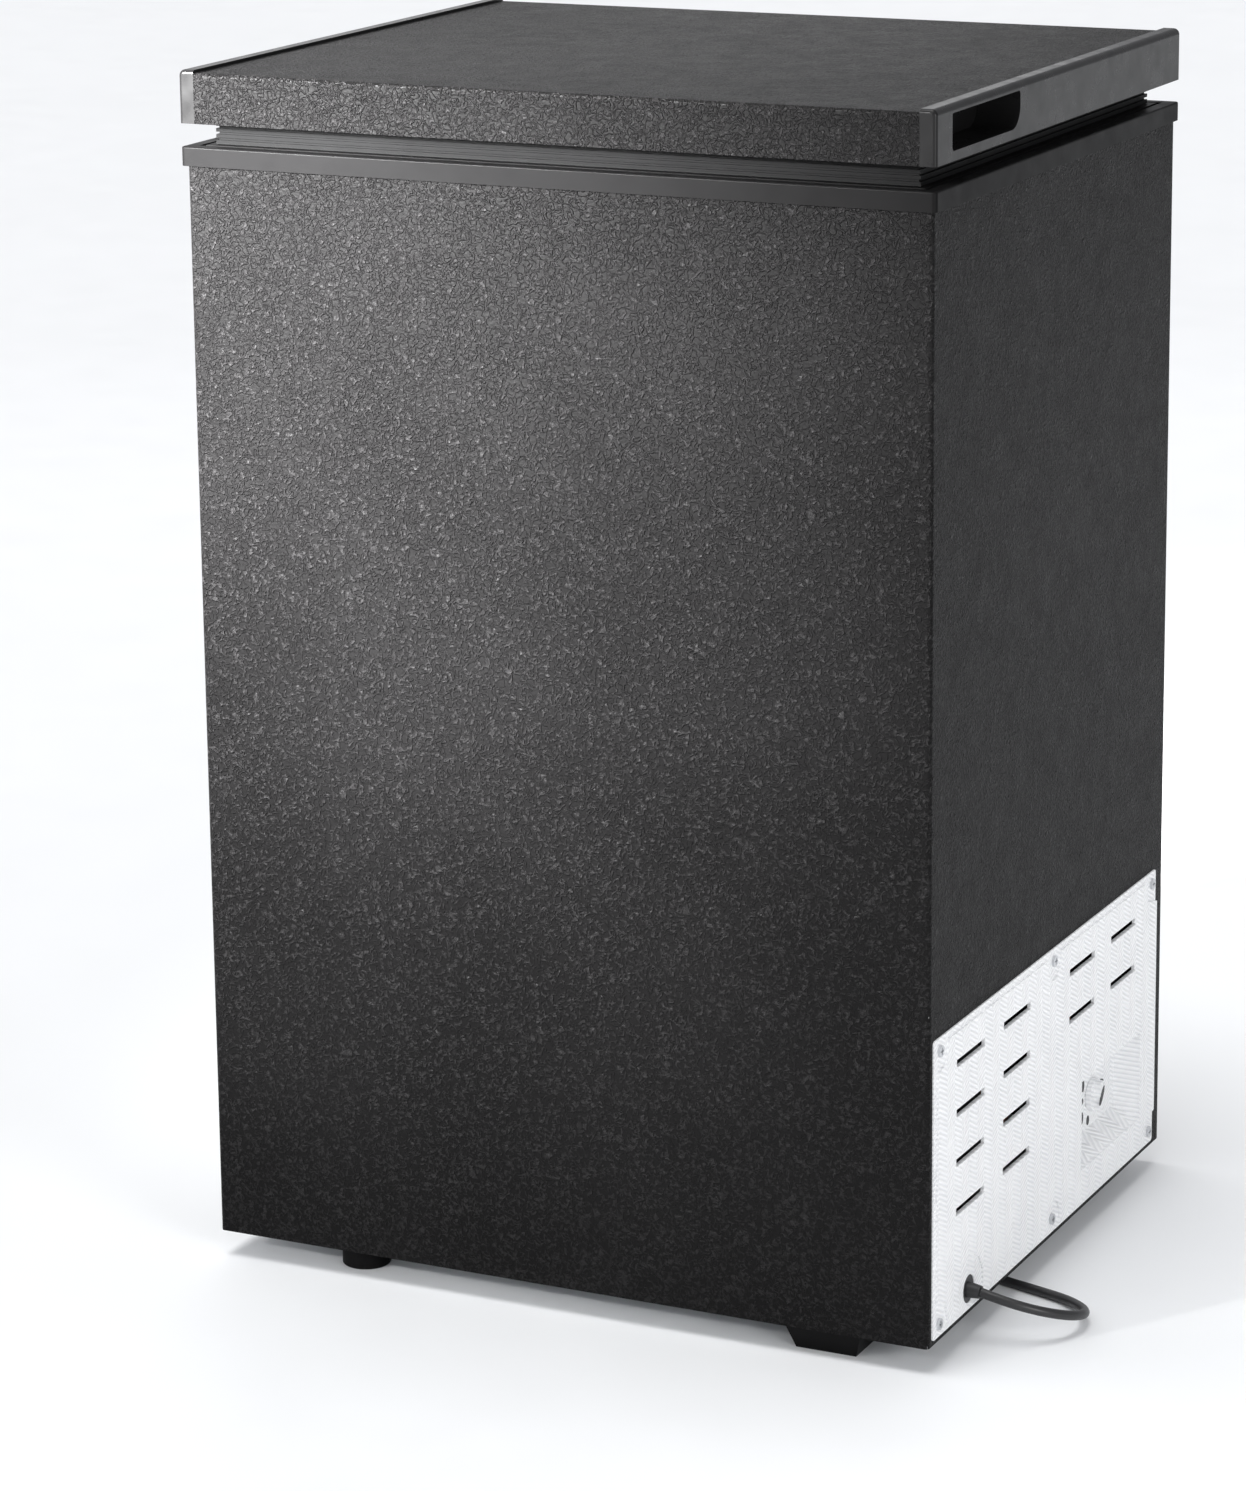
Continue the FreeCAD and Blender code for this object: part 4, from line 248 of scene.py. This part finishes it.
# %% Model the plug
plug_low, plug_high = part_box("power_plug")
SLEEVE_LENGTH = 0.012
BAND_COUNT = 7
BAND_GROOVE = 0.0012
BAND_LAP = 0.0001
RING_COUNT = 4
RING_RADIUS = 0.0062
RING_TAPER = 0.0006
RING_DEPTH = 0.0027
RING_PITCH = 0.003
FIRST_RING = 0.0014
CORE_RADIUS = 0.0038
plug_split = plug_high[0] - SLEEVE_LENGTH
band_length = (plug_split - plug_low[0]) / BAND_COUNT
bands = []
for number in range(BAND_COUNT):
    inset = BAND_GROOVE if number % 2 else 0.0
    start = plug_low[0] + number * band_length
    band = add_block((start - BAND_LAP, plug_low[1] + inset, plug_low[2] + inset),
                     (start + band_length + BAND_LAP, plug_high[1] - inset, plug_high[2] - inset))
    apply_bevel(band, 0.0011, 3)
    bands.append(band)
_, tail_y, tail_z = CORD_TAIL[-1]
sleeve_rings = []
for number in range(RING_COUNT):
    ring = cylinder_along_x(RING_RADIUS - RING_TAPER * number, RING_DEPTH,
                            (plug_split + FIRST_RING + RING_PITCH * number, tail_y, tail_z))
    apply_bevel(ring, 0.0006, 2)
    sleeve_rings.append(ring)
sleeve_core = cylinder_along_x(CORE_RADIUS, SLEEVE_LENGTH,
                               (plug_split + SLEEVE_LENGTH / 2, tail_y, tail_z))
plug_piece = join_pieces([*bands, *sleeve_rings, sleeve_core], "moulded_plug")
smooth(plug_piece)
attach(plug_piece, "cabinet")
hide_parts("power_plug")
print("plug faces:", len(plug_piece.data.polygons))

# %% [markdown]
# ## Fine ribs on the compressor cover
# The moulded cover carries a ladder of little ribs up its front rim. They are too small for
# the engineering model. One rib is modelled as a small bevelled bar, and copies of it are
# joined into one piece that rides on the cabinet.

# %% Model the rib ladder
cover_low, cover_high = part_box("compressor_cover")
RIM_BELOW_FIELD = 0.002
RIB_PITCH = 0.0042
RIB_WIDTH = 0.0015
RIB_ROOT = 0.0003
RIB_HEIGHT = 0.0006
RIB_START, RIB_END = 0.0012, 0.0040
LADDER_START = 0.024
LADDER_MARGINS = 0.05
rim_face = cover_high[0] - RIM_BELOW_FIELD
rib_count = int((cover_high[2] - cover_low[2] - LADDER_MARGINS) / RIB_PITCH)
rib_level = cover_low[2] + LADDER_START
first_rib = add_block((rim_face - RIB_ROOT, cover_low[1] + RIB_START, rib_level),
                      (rim_face + RIB_HEIGHT, cover_low[1] + RIB_END, rib_level + RIB_WIDTH))
apply_bevel(first_rib, 0.00025, 1)
ribs = [first_rib]
for number in range(1, rib_count):
    copy = first_rib.copy()
    copy.data = first_rib.data.copy()
    copy.location.z = number * RIB_PITCH
    bpy.context.scene.collection.objects.link(copy)
    ribs.append(copy)
cover_ribs = join_pieces(ribs, "cover_rim_ribs")
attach(cover_ribs, "cabinet")
print("ribs:", rib_count)

# %% [markdown]
# ## The wire basket
# A freezer basket is bent from round wire, spot welded and dipped in white plastic. The
# engineering model has straight square bars for it. Here each wire is one line with rounded
# corners and a round section: a thick rim, seven hoops that hang from it front to back, eight
# that hang from side to side, and three rings that tie them. The lines become one mesh.

# %% Bend the basket's wires
BASKET_WIRE = 0.003
BASKET_RIM = 0.0045
WIRE_BEND = 0.007


def rounded_path(corners, closed, bend=WIRE_BEND, steps=5):
    """Corner points with each turn replaced by a short arc."""
    places = [Vector(corner) for corner in corners]
    count = len(places)
    path = []
    for number, place in enumerate(places):
        if not closed and number in (0, count - 1):
            path.append(place)
            continue
        back = (places[number - 1] - place).normalized() * bend
        ahead = (places[(number + 1) % count] - place).normalized() * bend
        for step in range(steps + 1):
            share = step / steps
            path.append(place + back * (1 - share) ** 2 + ahead * share ** 2)
    return path


def bent_wire(corners, diameter, closed=False):
    path = rounded_path(corners, closed)
    line = bpy.data.curves.new("wire", "CURVE")
    line.dimensions = "3D"
    line.bevel_depth = diameter / 2
    line.bevel_resolution = 2
    line.use_fill_caps = not closed
    spline = line.splines.new("POLY")
    spline.points.add(len(path) - 1)
    for control, place in zip(spline.points, path):
        control.co = (*place, 1)
    spline.use_cyclic_u = closed
    wire = bpy.data.objects.new("wire", line)
    bpy.context.scene.collection.objects.link(wire)
    deselect_all()
    wire.select_set(True)
    bpy.context.view_layer.objects.active = wire
    bpy.ops.object.convert(target="MESH")
    return bpy.context.object


print("wire bend:", WIRE_BEND * 1000, "mm")

# %% Build the basket
basket_low, basket_high = (Vector(corner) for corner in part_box("wire_basket"))
half = BASKET_WIRE / 2
rim_level = basket_high.z - BASKET_RIM / 2
rim_inset = BASKET_RIM / 2
HOOK_REACH = 0.0068
HOOK_DROP = 0.0004
CROSSING = 0.8
RING_LEVELS = (0.07, 0.36, 0.68)
front_wall = basket_low.y + HOOK_REACH + half
rear_wall = basket_high.y - HOOK_REACH - half
hook_level = rim_level - HOOK_DROP
basket_floor = basket_low.z + half
upper_floor = basket_floor + BASKET_WIRE * CROSSING
left_wall = basket_low.x + half
right_wall = basket_high.x - half


def basket_ring(low, high, level, diameter):
    corners = [(low[0], low[1], level), (high[0], low[1], level),
               (high[0], high[1], level), (low[0], high[1], level)]
    return bent_wire(corners, diameter, closed=True)


wires = [basket_ring((basket_low.x + rim_inset, basket_low.y + rim_inset),
                     (basket_high.x - rim_inset, basket_high.y - rim_inset),
                     rim_level, BASKET_RIM)]
HOOPS = 7
for number in range(HOOPS):
    x = left_wall + BASKET_WIRE + (right_wall - left_wall - 2 * BASKET_WIRE) * number / (HOOPS - 1)
    wires.append(bent_wire([(x, basket_low.y + rim_inset, hook_level),
                            (x, front_wall, hook_level), (x, front_wall, basket_floor),
                            (x, rear_wall, basket_floor), (x, rear_wall, hook_level),
                            (x, basket_high.y - rim_inset, hook_level)], BASKET_WIRE))
LONG_HOOPS = 8
for number in range(1, LONG_HOOPS + 1):
    y = front_wall + (rear_wall - front_wall) * number / (LONG_HOOPS + 1)
    wires.append(bent_wire([(left_wall, y, rim_level), (left_wall, y, upper_floor),
                            (right_wall, y, upper_floor), (right_wall, y, rim_level)],
                           BASKET_WIRE))
for share in RING_LEVELS:
    level = basket_low.z + (rim_level - basket_low.z) * share
    wires.append(basket_ring((left_wall + half, front_wall + half),
                             (right_wall - half, rear_wall - half), level, BASKET_WIRE))
basket_piece = join_pieces(wires, "round_wire_basket")
smooth(basket_piece, 50)
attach(basket_piece, "basket")
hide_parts("wire_basket")
print("basket wires:", len(wires), "faces:", len(basket_piece.data.polygons))

# %% [markdown]
# ## Marks on the thermostat dial
# Plain printed marks, with no figures, stand round the knob on the floor of the recess, and a
# black pointer crosses the knob's grip. Each mark is a thin oval a fraction of a millimetre
# proud: a disc, flattened one way and softened at its rim. The pointer rides on the knob, so
# that it turns with it.

# %% Print the dial marks
RECESS_FACE = 0.2435
DIAL_MARKS = [(0.1120, 0.0968, 0.0064), (0.1016, 0.0900, 0.0090), (0.1000, 0.0790, 0.0046),
              (0.1000, 0.0668, 0.0090), (0.1120, 0.0616, 0.0070)]
MARK_WIDTH = 0.0052
MARK_DEPTH = 0.0003
POINTER_LENGTH = 0.015
POINTER_TURN = math.radians(-35)


def printed_mark(face, across, up, length, turn=0.0):
    """A thin oval on a face that looks to the right: a flattened disc with a softened rim."""
    mark = cylinder_along_x(0.5, MARK_DEPTH, vertices=28)
    mark.scale = (1, MARK_WIDTH, length)
    bpy.ops.object.transform_apply(location=True, rotation=True, scale=True)
    apply_bevel(mark, 0.0001, 2)
    mark.rotation_euler.x = turn
    mark.location = (face + 0.00005, across, up)
    bpy.ops.object.transform_apply(location=True, rotation=True, scale=True)
    return mark


dial_marks = join_pieces([printed_mark(RECESS_FACE, *mark) for mark in DIAL_MARKS],
                         "dial_marks")
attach(dial_marks, "cabinet")
knob_low, knob_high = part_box("thermostat_knob")
knob_middle = [(a + b) / 2 for a, b in zip(knob_low, knob_high)]
pointer = settle(printed_mark(knob_high[0] - 0.0001, knob_middle[1], knob_middle[2],
                              POINTER_LENGTH, POINTER_TURN), "knob_pointer")
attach(pointer, "knob")
print("dial marks:", len(DIAL_MARKS), "knob box:",
      [round(v, 4) for v in (*knob_low, *knob_high)])

# %% [markdown]
# ## Studio
# A wide pale floor under a high soft sun keeps the surroundings bright while the black sheets
# stay dark. One lamp stands low at the front left: seen from the right, its light glances off
# the front sheet as one broad highlight near the top left corner. A second soft lamp grazes the
# right side, and a third lifts the top of the lid.

# %% Floor and lights
deselect_all()
bpy.ops.mesh.primitive_plane_add(size=24, location=(0, 0, 0))
floor = settle(bpy.context.object, "studio_floor")

world = bpy.data.worlds.new("studio")
bpy.context.scene.world = world
world.use_nodes = True
world.node_tree.nodes["Background"].inputs["Color"].default_value = (0.95, 0.96, 1.0, 1)
world.node_tree.nodes["Background"].inputs["Strength"].default_value = 0.42
bpy.context.scene.view_settings.view_transform = "Standard"


def soft_lamp(name, place, aim, width, height, power, spread=180):
    data = bpy.data.lights.new(name, "AREA")
    data.shape = "RECTANGLE"
    data.size = width
    data.size_y = height
    data.energy = power
    data.spread = math.radians(spread)
    lamp = bpy.data.objects.new(name, data)
    bpy.context.scene.collection.objects.link(lamp)
    lamp.location = place
    lamp.rotation_euler = (Vector(aim) - Vector(place)).to_track_quat("-Z", "Y").to_euler()
    lamp.visible_camera = False


soft_lamp("front_left_lamp", (-1.05, -1.85, 1.20), (-0.26, -0.22, 0.66), 0.4, 0.4, 21, 27)
soft_lamp("side_lamp", (2.3, -1.5, 1.0), (0.26, 0, 0.35), 0.9, 0.9, 28)
soft_lamp("lid_lamp", (-1.5, 2.6, 1.6), (0, 0, 0.8), 1.6, 0.9, 4)
sun_data = bpy.data.lights.new("high_sun", "SUN")
sun_data.energy = 2.4
sun_data.angle = math.radians(40)
high_sun = bpy.data.objects.new("high_sun", sun_data)
bpy.context.scene.collection.objects.link(high_sun)
high_sun.rotation_euler = (math.radians(6), math.radians(-8), 0)
print("lamps: 4")

# %% [markdown]
# ## Finishes
# Each finish starts from one recipe: a Principled shader whose colour and roughness drift
# slightly with large soft noise, and a bump from smaller noise. The drift keeps a big plain
# surface from looking painted on. The patterns read Object coordinates, so their scale is in
# real metres.

# %% The shared recipe
def shader_nodes(name):
    """A new material with its nodes, links, shader and Object coordinates."""
    material = bpy.data.materials.new(name)
    material.use_nodes = True
    tree = material.node_tree
    shader = tree.nodes["Principled BSDF"]
    coordinates = tree.nodes.new("ShaderNodeTexCoord").outputs["Object"]
    return material, tree, shader, coordinates


def noise(tree, coordinates, scale, detail=2.0, distortion=0.0):
    node = tree.nodes.new("ShaderNodeTexNoise")
    node.inputs["Scale"].default_value = scale
    node.inputs["Detail"].default_value = detail
    node.inputs["Distortion"].default_value = distortion
    tree.links.new(coordinates, node.inputs["Vector"])
    return node.outputs["Fac"]


def ramp(tree, source, stops):
    """A colour ramp from (position, colour) stops."""
    node = tree.nodes.new("ShaderNodeValToRGB")
    elements = node.color_ramp.elements
    while len(elements) < len(stops):
        elements.new(0.5)
    for element, (position, colour) in zip(elements, stops):
        element.position = position
        element.color = (*colour, 1)
    tree.links.new(source, node.inputs["Fac"])
    return node.outputs["Color"]


def span(tree, source, low, high, from_low=0.3, from_high=0.7):
    """Map a noise value to a range."""
    node = tree.nodes.new("ShaderNodeMapRange")
    node.inputs["From Min"].default_value = from_low
    node.inputs["From Max"].default_value = from_high
    node.inputs["To Min"].default_value = low
    node.inputs["To Max"].default_value = high
    tree.links.new(source, node.inputs["Value"])
    return node.outputs["Result"]


def calculate(tree, operation, first, second=None):
    node = tree.nodes.new("ShaderNodeMath")
    node.operation = operation
    for socket, value in zip(node.inputs, (first, second)):
        if value is None:
            continue
        if isinstance(value, (int, float)):
            socket.default_value = value
        else:
            tree.links.new(value, socket)
    return node.outputs["Value"]


def bump(tree, shader, height, distance):
    node = tree.nodes.new("ShaderNodeBump")
    node.inputs["Distance"].default_value = distance
    node.inputs["Strength"].default_value = 1.0
    tree.links.new(height, node.inputs["Height"])
    tree.links.new(node.outputs["Normal"], shader.inputs["Normal"])


def shade(colour, factor):
    return tuple(min(1.0, part * factor) for part in colour)


ROUGHNESS_DRIFT = 0.05


def plain_finish(name, colour, roughness, metallic=0.0, drift=0.08, grain=900,
                 grain_depth=0.00003, scale=9, specular=0.5):
    """A finish with soft colour drift, uneven roughness and a fine grain."""
    material, tree, shader, coordinates = shader_nodes(name)
    shader.inputs["Metallic"].default_value = metallic
    shader.inputs["Specular IOR Level"].default_value = specular
    cloud = noise(tree, coordinates, scale, 4)
    stops = [(0.3, shade(colour, 1 - drift)), (0.7, shade(colour, 1 + drift))]
    tree.links.new(ramp(tree, cloud, stops), shader.inputs["Base Color"])
    wear = noise(tree, coordinates, scale * 7, 3)
    tree.links.new(span(tree, wear, roughness - ROUGHNESS_DRIFT, roughness + ROUGHNESS_DRIFT),
                   shader.inputs["Roughness"])
    bump(tree, shader, noise(tree, coordinates, grain, 2), grain_depth)
    return material


print("recipe ready")

# %% [markdown]
# ### Embossed black steel
# The cabinet and lid are pre-coated steel with a leather-like emboss: short winding ridges a
# few millimetres long. Noise gives the winding lines: where its value crosses one half, its
# contour wanders like a worm. The distance from that crossing, rounded off, is the height of a
# ridge. A second, finer noise breaks the lines into short pieces. The colour follows that
# height: lighter on the ridges and darker between them, a painted highlight and painted shade
# on the relief, with a soft random tone on top.

# %% Embossed steel
def embossed_steel(name):
    material, tree, shader, coordinates = shader_nodes(name)
    wear = noise(tree, coordinates, 60, 3)
    tree.links.new(span(tree, wear, 0.40, 0.47), shader.inputs["Roughness"])
    shader.inputs["Specular IOR Level"].default_value = 0.07
    winding = noise(tree, coordinates, 270, 1.0, 0.7)
    crossing = calculate(tree, "ABSOLUTE", calculate(tree, "SUBTRACT", winding, 0.5))
    ridge = span(tree, crossing, 1.0, 0.0, 0.0, 0.10)
    breaks = span(tree, noise(tree, coordinates, 40, 1), 0.6, 1.0, 0.36, 0.6)
    pebble = calculate(tree, "MULTIPLY", noise(tree, coordinates, 520, 2), 0.2)
    height = calculate(tree, "ADD", calculate(tree, "MULTIPLY", ridge, breaks), pebble)
    cloud = calculate(tree, "MULTIPLY", noise(tree, coordinates, 5, 3), 0.35)
    # ridge height lightens the colour: painted highlight on the ridges, painted shade between them,
    # plus a random soft tone
    ridge_light_and_tone = calculate(tree, "ADD", calculate(tree, "MULTIPLY", height, 0.6), cloud)
    blacks = [(0.20, (0.0050, 0.0048, 0.0049)), (0.80, (0.0215, 0.0208, 0.0212))]
    tree.links.new(ramp(tree, ridge_light_and_tone, blacks), shader.inputs["Base Color"])
    bump(tree, shader, height, 0.0013)
    return material


steel_emboss = embossed_steel("embossed_steel")

# %% [markdown]
# ### White ribbed moulding
# The compressor cover has a fine herringbone of ribs moulded into its face. Two sets of
# slanting waves are laid in alternating columns, so that they meet in small arrowheads. The
# same waves darken the colour in the grooves between the ribs: painted shade, over a soft
# random tone.

# %% Ribbed white plastic
def slanted_waves(tree, coordinates, slope, pitch):
    """A wave that runs along a slanting line on the cover's face."""
    parts = tree.nodes.new("ShaderNodeSeparateXYZ")
    tree.links.new(coordinates, parts.inputs["Vector"])
    across = calculate(tree, "MULTIPLY", parts.outputs["Y"], slope)
    along = calculate(tree, "ADD", parts.outputs["Z"], across)
    return calculate(tree, "SINE", calculate(tree, "MULTIPLY", along, 2 * math.pi / pitch))


def ribbed_white(name):
    material, tree, shader, coordinates = shader_nodes(name)
    wear = noise(tree, coordinates, 90, 3)
    tree.links.new(span(tree, wear, 0.36, 0.48), shader.inputs["Roughness"])
    parts = tree.nodes.new("ShaderNodeSeparateXYZ")
    tree.links.new(coordinates, parts.inputs["Vector"])
    column = calculate(tree, "FRACT", calculate(tree, "MULTIPLY", parts.outputs["Y"], 1 / 0.026))
    side = calculate(tree, "GREATER_THAN", column, 0.5)
    mix = tree.nodes.new("ShaderNodeMix")
    tree.links.new(side, mix.inputs["Factor"])
    tree.links.new(slanted_waves(tree, coordinates, 0.5, 0.0034), mix.inputs["A"])
    tree.links.new(slanted_waves(tree, coordinates, -0.5, 0.0034), mix.inputs["B"])
    cloud = calculate(tree, "MULTIPLY", noise(tree, coordinates, 30, 3), 0.7)
    # colour darker in the grooves and lighter on the ribs: painted shade of the herringbone, plus a
    # random soft tone
    depth = calculate(tree, "ADD", span(tree, mix.outputs["Result"], 0.0, 0.65, -1, 1), cloud)
    whites = [(0.2, (0.74, 0.75, 0.77)), (0.7, (0.93, 0.935, 0.94))]
    tree.links.new(ramp(tree, depth, whites), shader.inputs["Base Color"])
    bump(tree, shader, mix.outputs["Result"], 0.0003)
    return material


white_ribbed = ribbed_white("ribbed_white_moulding")

# %% [markdown]
# ### Spangled zinc, copper and cord
# Hot-dipped zinc shows flat crystal patches: a Voronoi pattern gives each patch its own tone.
# Copper pipe darkens unevenly. A cord jacket has a faint fine grain and a soft sheen.

# %% Metals and the cord jacket
def zinc_sheet(name):
    material, tree, shader, coordinates = shader_nodes(name)
    patches = tree.nodes.new("ShaderNodeTexVoronoi")
    patches.inputs["Scale"].default_value = 90
    tree.links.new(coordinates, patches.inputs["Vector"])
    ridge_light_and_tone = tree.nodes.new("ShaderNodeSeparateColor")
    tree.links.new(patches.outputs["Color"], ridge_light_and_tone.inputs["Color"])
    greys = [(0.0, (0.42, 0.43, 0.45)), (1.0, (0.62, 0.63, 0.64))]
    tree.links.new(ramp(tree, ridge_light_and_tone.outputs["Red"], greys), shader.inputs["Base Color"])
    tree.links.new(span(tree, ridge_light_and_tone.outputs["Green"], 0.28, 0.45, 0, 1), shader.inputs["Roughness"])
    shader.inputs["Metallic"].default_value = 0.9
    bump(tree, shader, noise(tree, coordinates, 300, 2), 0.00003)
    return material


def copper_pipe(name):
    material, tree, shader, coordinates = shader_nodes(name)
    stain = noise(tree, coordinates, 60, 5, 0.5)
    browns = [(0.3, (0.36, 0.15, 0.08)), (0.6, (0.72, 0.36, 0.22))]
    tree.links.new(ramp(tree, stain, browns), shader.inputs["Base Color"])
    tree.links.new(span(tree, stain, 0.45, 0.25), shader.inputs["Roughness"])
    shader.inputs["Metallic"].default_value = 1.0
    bump(tree, shader, noise(tree, coordinates, 500, 2), 0.00003)
    return material


def foam_finish(name):
    material, tree, shader, coordinates = shader_nodes(name)
    cells = tree.nodes.new("ShaderNodeTexVoronoi")
    cells.inputs["Scale"].default_value = 500
    tree.links.new(coordinates, cells.inputs["Vector"])
    yellows = [(0.3, (0.74, 0.62, 0.36)), (0.7, (0.84, 0.74, 0.5))]
    tree.links.new(ramp(tree, noise(tree, coordinates, 12, 4), yellows),
                   shader.inputs["Base Color"])
    wear = noise(tree, coordinates, 90, 2)
    tree.links.new(span(tree, wear, 0.75, 0.95), shader.inputs["Roughness"])
    bump(tree, shader, cells.outputs["Distance"], 0.0004)
    return material


finishes = {
    "embossed_black": steel_emboss,
    "cover_white": white_ribbed,
    "galvanised": zinc_sheet("zinc_sheet"),
    "copper": copper_pipe("copper_pipe"),
    "foam": foam_finish("foam_cells"),
    "liner_white": plain_finish("liner_gloss_white", (0.64, 0.655, 0.67), 0.26,
                                drift=0.015, grain=220),
    "tube_metal": plain_finish("drawn_tube", (0.62, 0.63, 0.64), 0.36, 1.0, 0.08, 500),
    "collar_black": plain_finish("collar_satin_black", (0.0062, 0.0060, 0.0062), 0.42,
                                 drift=0.12, grain=1400, specular=0.05),
    "cap_black": plain_finish("cap_satin_black", (0.0085, 0.0083, 0.0085), 0.30,
                              drift=0.1, grain=1500, grain_depth=0.00001, specular=0.2),
    "screw_steel": plain_finish("zinc_plated_steel", (0.62, 0.63, 0.65), 0.3, 1.0, 0.1, 1200),
    "lamp": plain_finish("smoked_lamp_lens", (0.012, 0.016, 0.013), 0.15, drift=0.1, scale=60),
    "compressor_black": plain_finish("baked_black_paint", (0.018, 0.018, 0.019), 0.3,
                                     drift=0.2, grain=420, grain_depth=0.00008),
    "motor_iron": plain_finish("bare_iron", (0.25, 0.24, 0.23), 0.5, 0.9, 0.2, 700, 0.0001),
    "rubber_black": plain_finish("soft_rubber", (0.018, 0.018, 0.018), 0.62,
                                 drift=0.15, grain=1600),
    "gasket_black": plain_finish("gasket_vinyl", (0.006, 0.006, 0.0062), 0.5, drift=0.12, grain=900,
                                 specular=0.05),
    "magnet": plain_finish("magnet_strip", (0.05, 0.04, 0.04), 0.7, drift=0.15),
    "hinge_black": plain_finish("hinge_paint", (0.03, 0.03, 0.031), 0.35, drift=0.15, grain=1100),
    "wire_white": plain_finish("coated_wire", (0.74, 0.75, 0.76), 0.3, drift=0.02, grain=1300),
    "cord_black": plain_finish("cord_jacket", (0.016, 0.016, 0.017), 0.42, drift=0.15, grain=1500),
    "dial_ink": plain_finish("dial_ink", (0.012, 0.012, 0.013), 0.4,
                             drift=0.1, grain=1500, specular=0.3),
    "blade_brass": plain_finish("blade_metal", (0.72, 0.68, 0.55), 0.22, 1.0, 0.06, 1500),
}
print("finishes:", len(finishes))

# %% [markdown]
# ## Dressing every node
# The record says which slot each node takes its finish from, so one loop dresses them all. Only
# the new pieces are named by hand. The floor gets a pale finish with a faint mottle.

# %% Assign the finishes
def dress(piece, material):
    piece.data.materials.clear()
    piece.data.materials.append(material)


for entry in frame["record"]["subparts"]:
    dress(nodes[entry["node"]], finishes[entry["material_slot"]])
for piece in (mains_cord, plug_piece):
    dress(piece, finishes["cord_black"])
dress(cover_ribs, finishes["cover_white"])
dress(basket_piece, finishes["wire_white"])
for piece in (dial_marks, pointer):
    dress(piece, finishes["dial_ink"])
dress(floor, plain_finish("studio_floor_paint", (0.86, 0.87, 0.88), 0.55, drift=0.01, scale=2))
